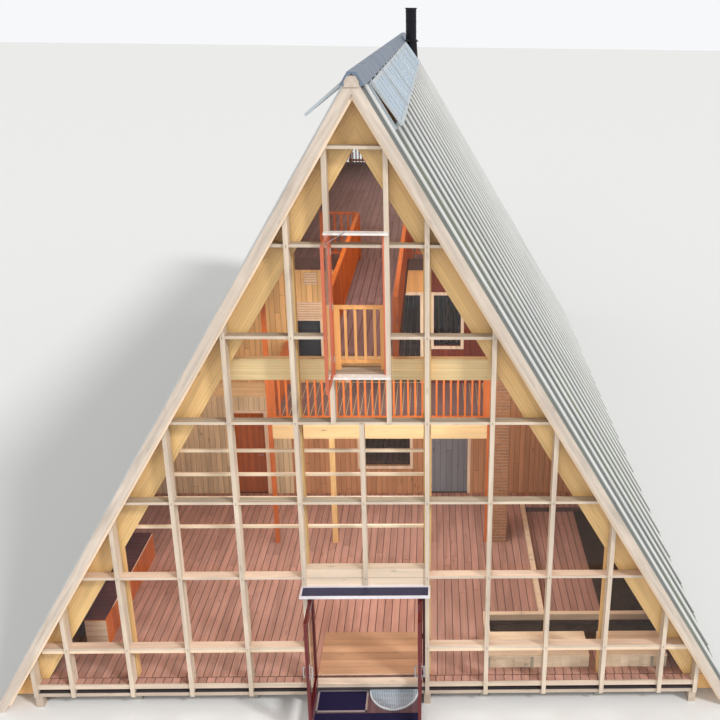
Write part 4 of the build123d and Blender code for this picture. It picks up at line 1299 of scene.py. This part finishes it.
class CABIN_OT_landing(CabinOperator, bpy.types.Operator):
    """Lay the boards, the mats and the grate of the landing"""
    bl_idname = "cabin.landing"
    bl_label = "Landing"

    def execute(self, context):
        tone = self.colours
        low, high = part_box("door_step")
        top = high.z
        boards = wood("landing_board", "y", tone.landing, tone_attribute=True, contrast=0.3, stain=0.3)
        dress(wood("landing_sides", "x", darker(tone.landing, 0.6), contrast=0.3), "door_step")
        pitch = 0.095
        planks = board_patch((low.x, low.y, top - 0.004), (1, 0, 0), (0, 1, 0), high.x - low.x,
                             high.y - low.y, boards, pitch, 0.006, 0.008, 1, 51)
        piece("landing_boards", [planks])
        self.mats(top + 0.004)
        self.grate(top + 0.004)
        return {"FINISHED"}

    def mats(self, top):
        """Bristle mat in its metal frame, and the ribbed rubber mat along the front."""
        bristle = stone("mat_bristle", self.colours.mat, 140.0, 0.004, rough=0.95, spots=0.25)
        light = metal("mat_frame_metal", on_screen(0.80, 0.78, 0.80), along="x", streak=0.2)
        x0, x1, y0, y1 = -0.858, 0.0, -0.49, 0.028
        rim = 0.03
        height = 0.018
        head = top + height
        ring = [((x0, y0, top), (x1, y0 + rim, head)), ((x0, y1 - rim / 2, top), (x1, y1, head)),
                ((x0, y0, top), (x0 + rim, y1, head)), ((x1 - rim, y0, top), (x1, y1, head))]
        piece("mat_frame", [boxes_mesh(ring, light)])
        inner = x1 - x0 - 2 * rim
        pitch = 0.02
        ribs = bar_row(int((y1 - y0 - 1.5 * rim) / pitch), pitch, inner, foot=0.02, top=0.012, height=0.014,
                       place=(x0 + rim, y0 + rim + pitch / 2, top + 0.007), material=bristle)
        piece("door_mat", [ribs])
        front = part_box("door_step")[0].y
        back = -0.51
        half = 0.86
        rubber = bar_row(int((back - front) / pitch), pitch, 2 * half, foot=0.02, top=0.01, height=0.01,
                         place=(-half, front + pitch / 2 + 0.004, top + 0.005), material=bristle)
        piece("ribbed_mat", [rubber])

    def grate(self, top):
        """Half-round galvanised grate over its dark pit."""
        zinc = metal("galvanised_grate", on_screen(0.86, 0.90, 0.93), rough=0.45, metallic=0.3, along="x",
                     streak=0.2)
        pit = stone("grate_pit", on_screen(0.33, 0.42, 0.52), 60.0, 0.001)
        middle = 0.436
        wide = 0.42
        deep = 0.49
        back = 0.028
        pitch = 0.03
        bar = 0.003
        height = 0.02
        steps = 36
        rim = 0.026

        def edge(share, inset=0.0):
            angle = math.pi * share
            return (middle - (wide - inset) * math.cos(angle), back - (deep - inset) * math.sin(angle))

        def bars(builder):
            count = int(2 * wide / pitch)
            for number in range(1, count):
                x = middle - wide + 2 * wide * number / count
                reach = deep * math.sqrt(1.0 - ((x - middle) / wide) ** 2) - rim / 2
                add_box(builder, (x - bar, back - reach, top + 0.002), (x + bar, back, top + height))
            rows = int(deep / pitch)
            for number in range(1, rows):
                depth = deep * number / rows
                reach = wide * math.sqrt(1.0 - (depth / deep) ** 2) - rim / 2
                add_box(builder, (middle - reach, back - depth - bar, top + 0.006),
                        (middle + reach, back - depth + bar, top + height - 0.002))
            outer = [edge(number / steps) for number in range(steps + 1)]
            inner = [edge(number / steps, rim) for number in range(steps + 1)]
            (foot_out, foot_in), (head_out, head_in) = [
                [[builder.verts.new((x, y, z)) for x, y in line] for line in (outer, inner)]
                for z in (top, top + height + 0.004)]
            for one in range(steps):
                two = one + 1
                for ring in ((head_out[one], head_out[two], head_in[two], head_in[one]),
                             (foot_out[two], foot_out[one], foot_in[one], foot_in[two]),
                             (foot_out[one], foot_out[two], head_out[two], head_out[one]),
                             (foot_in[two], foot_in[one], head_in[one], head_in[two])):
                    builder.faces.new(ring)
            for end in (0, steps):
                builder.faces.new((foot_out[end], foot_in[end], head_in[end], head_out[end]))
            add_box(builder, (middle - wide, back - 0.006, top), (middle + wide, back, top + height + 0.004))

        def floor(builder):
            low, high = [[builder.verts.new((*edge(number / steps), z)) for number in range(steps + 1)]
                         for z in (top - 0.001, top + 0.0015)]
            builder.faces.new(reversed(low))
            builder.faces.new(high)
            for number in range(steps + 1):
                after = (number + 1) % (steps + 1)
                builder.faces.new((low[number], low[after], high[after], high[number]))
        piece("step_grate", [mesh_of(bars, zinc), mesh_of(floor, pit)])


class CABIN_OT_door(CabinOperator, bpy.types.Operator):
    """Finish the double door with its canopy, and the upper leaf with its stay"""
    bl_idname = "cabin.door"
    bl_label = "Doors and canopy"

    def execute(self, context):
        tone = self.colours
        red = paint("door_paint", tone.door)
        salmon = paint("salmon_paint", tone.salmon)
        steel = metal("handle_metal", on_screen(0.8, 0.8, 0.82), rough=0.25, along="z")
        dress(red, "door_frame", "door_left_frame", "door_right_frame")
        dress(salmon, "casement_frame")
        dress(metal("canopy_metal", on_screen(0.93, 0.92, 0.95), metallic=0.3, along="x"), "door_canopy")
        dress(steel, "door_left_handle", "door_right_handle")
        self.canopy()
        for side, word in ((-1, "left"), (1, "right")):
            self.leaf_fittings(side, "door_" + word, steel)
        self.casement(steel)
        return {"FINISHED"}

    def canopy(self):
        """Dark sheet that lies in the tray of the canopy."""
        navy = metal("canopy_tray", on_screen(0.22, 0.23, 0.36), rough=0.3, metallic=0.4, along="x",
                     streak=0.5)
        low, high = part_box("door_canopy")
        rim = 0.029
        tray = high.z - 0.015
        sheet_top = tray + 0.003
        seam_half = 0.008
        seam_places = (-0.5, 0.0, 0.5)
        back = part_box("front_mullions")[0].y
        sheet = [((low.x + rim, low.y + rim, tray), (high.x - rim, back - rim, sheet_top))]
        seams = [((x - seam_half, low.y + rim, sheet_top), (x + seam_half, back - rim, tray + 0.008))
                 for x in seam_places]
        piece("canopy_sheet", [boxes_mesh(sheet + seams, navy, 0.0)])

    def leaf_fittings(self, side, body, steel):
        """Plates behind the handles, beads round the pane and the stay of one leaf."""
        low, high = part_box(body + "_handle")
        pane_low, pane_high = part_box(body + "_glass")
        outer = side * LEAF_OUTER
        inner = side * LEAF_INNER
        middle = (low.y + high.y) / 2
        bead = 0.014
        plate_half = 0.022
        plate_past = 0.04
        plates = []
        beads = []
        for face, way in ((outer, side), (inner, -side)):
            x0, x1 = sorted((face, face + way * 0.003))
            plates.append(((x0, middle - plate_half, low.z - plate_past),
                           (x1, middle + plate_half, high.z + plate_past)))
            x0, x1 = sorted((face - way * bead, face + way * 0.004))
            near, low_edge = pane_low.y, pane_low.z
            far, high_edge = pane_high.y, pane_high.z
            beads += [((x0, near, low_edge), (x1, far, low_edge + bead)),
                      ((x0, near, high_edge - bead), (x1, far, high_edge)),
                      ((x0, near, low_edge), (x1, near + bead, high_edge)),
                      ((x0, far - bead, low_edge), (x1, far, high_edge))]
        pale = paint(body + "_plate_paint", on_screen(0.90, 0.90, 0.92), rough=0.25)
        bead_paint = paint(body + "_bead_paint", darker(self.colours.door, 0.8))
        piece(body + "_plates", [boxes_mesh(plates, pale, 0.0008)], body)
        piece(body + "_beads", [boxes_mesh(beads, bead_paint, 0.0)], body)
        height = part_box(body + "_frame")[1].z - 0.035

        def stay(builder):
            rod = inner - side * 0.008
            knob = inner - side * 0.014
            add_bar(builder, (rod, -0.08, height), (rod, -0.55, height), 0.006)
            for y in (-0.09, -0.53):
                add_bar(builder, (inner, y, height), (knob, y, height), 0.011)
        piece(body + "_stay", [mesh_of(stay, steel)], body)

    def casement(self, steel):
        """Stay and hinges of the open upper leaf."""
        low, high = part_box("casement_frame")
        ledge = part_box("upper_ledges")
        top = high.z

        def build(builder):
            x, y, z = -0.16, ledge[0].y + 0.03, ledge[1].z + 0.004
            outer = (low.x + 0.022, low.y + 0.04)
            add_bar(builder, (*outer, top - 0.006), (x, y, z), 0.006)
            add_bar(builder, (*outer, top - 0.02), (*outer, top + 0.008), 0.01)
            add_bar(builder, (x, y, z - 0.012), (x, y, z + 0.006), 0.01)
            hinge = (low.x + 0.05, -0.008)
            half = 0.05
            for share in HINGE_SHARES:
                z = low.z + share * (top - low.z)
                add_bar(builder, (*hinge, z - half), (*hinge, z + half), 0.008)
        piece("casement_stay", [mesh_of(build, steel)])


class CABIN_OT_glass(CabinOperator, bpy.types.Operator):
    """Finish the panes of the gables, the doors and the rooms"""
    bl_idname = "cabin.glass"
    bl_label = "Glass"

    def execute(self, context):
        dress(clear_glass("clear_glass", (0.96, 0.98, 0.98)), "front_glass", "back_glass", "door_left_glass",
              "door_right_glass", "casement_leaf_glass", "wall_glass")
        return {"FINISHED"}


class CABIN_OT_bricks(CabinOperator, bpy.types.Operator):
    """Lay the bricks of the pier"""
    bl_idname = "cabin.bricks"
    bl_label = "Bricks"

    def execute(self, context):
        sizes = self.sizes
        dress(stone("mortar", on_screen(0.72, 0.69, 0.64), 60.0, 0.001), "brick_pier")
        brick = stone("brick", self.colours.brick, 45.0, 0.0015)
        low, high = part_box("brick_pier")
        faces = [
            ((high.x, low.y), (-1, 0, 0), high.x - low.x, 2),
            ((high.x, high.y), (0, -1, 0), high.y - low.y, 3),
            ((low.x, high.y), (1, 0, 0), high.x - low.x, 2),
            ((low.x, low.y), (0, 1, 0), high.y - low.y, 3),
        ]
        meshes = []
        for number, ((x, y), run, length, parts) in enumerate(faces):
            meshes.append(board_patch((x, y, low.z), (0, 0, 1), run, high.z - low.z, length, brick,
                                      sizes.course_pitch, sizes.joint, sizes.brick_proud, parts, number, 0.0,
                                      0.5))
        piece("pier_bricks", meshes)
        return {"FINISHED"}


class CABIN_OT_stage(CabinOperator, bpy.types.Operator):
    """Set up the floor, the lights and the camera of the photograph"""
    bl_idname = "cabin.stage"
    bl_label = "Stage"

    def execute(self, context):
        scene = context.scene
        scene.view_settings.view_transform = "Standard"
        mesh = bpy.data.meshes.new("floor")
        reach = 300.0
        mesh.from_pydata([(-reach, -reach, 0), (reach, -reach, 0), (reach, reach, 0), (-reach, reach, 0)], [],
                         [(0, 1, 2, 3)])
        floor = bpy.data.objects.new("floor", mesh)
        scene.collection.objects.link(floor)
        mesh.materials.append(new_material("floor", roughness=0.9, base_color=(0.80, 0.80, 0.79))[0])

        world = bpy.data.worlds.new("studio")
        scene.world = world
        world.use_nodes = True
        tree = world.node_tree
        backdrop = tree.nodes["Background"]
        fill(tree, backdrop.inputs["Color"], (1.0, 1.0, 1.0))
        fill(tree, backdrop.inputs["Strength"], 0.58)
        soft = Result(tree, backdrop.outputs[0])
        plain = put(tree, "ShaderNodeBackground", {"Color": (0.93, 0.94, 0.95), "Strength": 1.0})
        path = put(tree, "ShaderNodeLightPath")
        seen = path["Is Camera Ray"].maths("MAXIMUM", path["Is Transmission Ray"])
        blend = put(tree, "ShaderNodeMixShader", {0: seen, 1: soft, 2: plain})
        fill(tree, tree.nodes["World Output"].inputs["Surface"], blend)

        self.lamp("key", "SUN", 1.9, (0.0, 0.0, 20.0), (-0.62, 0.50, -0.62), angle=math.radians(9.0))
        self.lamp("front", "SUN", 0.8, (0.0, -10.0, 20.0), (0.12, 0.88, -0.46), angle=math.radians(40.0))
        for name, power, place, direction, width, depth in FILL_LAMPS:
            self.lamp(name, "AREA", power, place, direction, shape="RECTANGLE", size=width, size_y=depth)

        yaw, pitch, roll = (math.radians(angle) for angle in (CAMERA_YAW, CAMERA_PITCH, CAMERA_ROLL))
        right = Vector((math.cos(yaw), -math.sin(yaw), 0.0))
        ahead = Vector((math.sin(yaw) * math.cos(pitch), math.cos(yaw) * math.cos(pitch), -math.sin(pitch)))
        up = right.cross(ahead)
        rolled = math.cos(roll) * right + math.sin(roll) * up
        upward = -math.sin(roll) * right + math.cos(roll) * up
        lens = bpy.data.cameras.new("photo_camera")
        lens.sensor_width = SENSOR
        lens.lens = SENSOR * CAMERA_FOCAL / FRAME_PIXELS
        lens.shift_x = (FRAME_PIXELS / 2 - CAMERA_MIDDLE) / FRAME_PIXELS
        lens.clip_end = 1000.0
        camera = bpy.data.objects.new("photo_camera", lens)
        turn = Matrix((rolled, upward, -ahead)).transposed().to_4x4()
        camera.matrix_world = Matrix.Translation(CAMERA_PLACE) @ turn
        scene.collection.objects.link(camera)
        scene.camera = camera
        return {"FINISHED"}

    def lamp(self, name, kind, energy, place, direction, **settings):
        """One lamp that the camera doesn't see."""
        lamp = bpy.data.lights.new(name, kind)
        lamp.energy = energy
        for key, value in settings.items():
            setattr(lamp, key, value)
        made = bpy.data.objects.new(name, lamp)
        made.location = place
        made.rotation_euler = Vector(direction).to_track_quat("-Z", "Y").to_euler()
        for ray in ("camera", "glossy", "transmission"):
            setattr(made, "visible_" + ray, False)
        bpy.context.scene.collection.objects.link(made)


OPERATORS = (CABIN_OT_gable, CABIN_OT_frames, CABIN_OT_roof, CABIN_OT_floors, CABIN_OT_joinery,
             CABIN_OT_landing, CABIN_OT_door, CABIN_OT_glass, CABIN_OT_bricks, CABIN_OT_stage)


class CABIN_PT_panel(bpy.types.Panel):
    bl_idname = "CABIN_PT_panel"
    bl_label = "Cabin"
    bl_space_type = "VIEW_3D"
    bl_region_type = "UI"
    bl_category = "Cabin"

    def draw(self, context):
        for operator in OPERATORS:
            self.layout.operator(operator.bl_idname)
        for group in (context.scene.cabin_sizes, context.scene.cabin_colours):
            for name in group.bl_rna.properties.keys():
                if name not in ("rna_type", "name"):
                    self.layout.prop(group, name)


CLASSES = (CabinSizes, CabinColours, *OPERATORS, CABIN_PT_panel)


def register():
    for item in CLASSES:
        bpy.utils.register_class(item)
    bpy.types.Scene.cabin_sizes = bpy.props.PointerProperty(type=CabinSizes)
    bpy.types.Scene.cabin_colours = bpy.props.PointerProperty(type=CabinColours)


def unregister():
    del bpy.types.Scene.cabin_colours
    del bpy.types.Scene.cabin_sizes
    for item in reversed(CLASSES):
        bpy.utils.unregister_class(item)


def main():
    register()
    make_slope_group()
    make_grain_group()
    make_panel_group()
    make_weather_group()
    make_board_tree()
    make_grid_tree("grid_of_bars", bar, "Length", "Foot", "Top", "Height")
    make_grid_tree("grid_of_studs", stud, "Radius", "Top", "Height")
    for operator in OPERATORS:
        group, name = operator.bl_idname.split(".")
        getattr(getattr(bpy.ops, group), name)()
    bpy.context.view_layer.update()


if __name__ == "__main__":
    main()
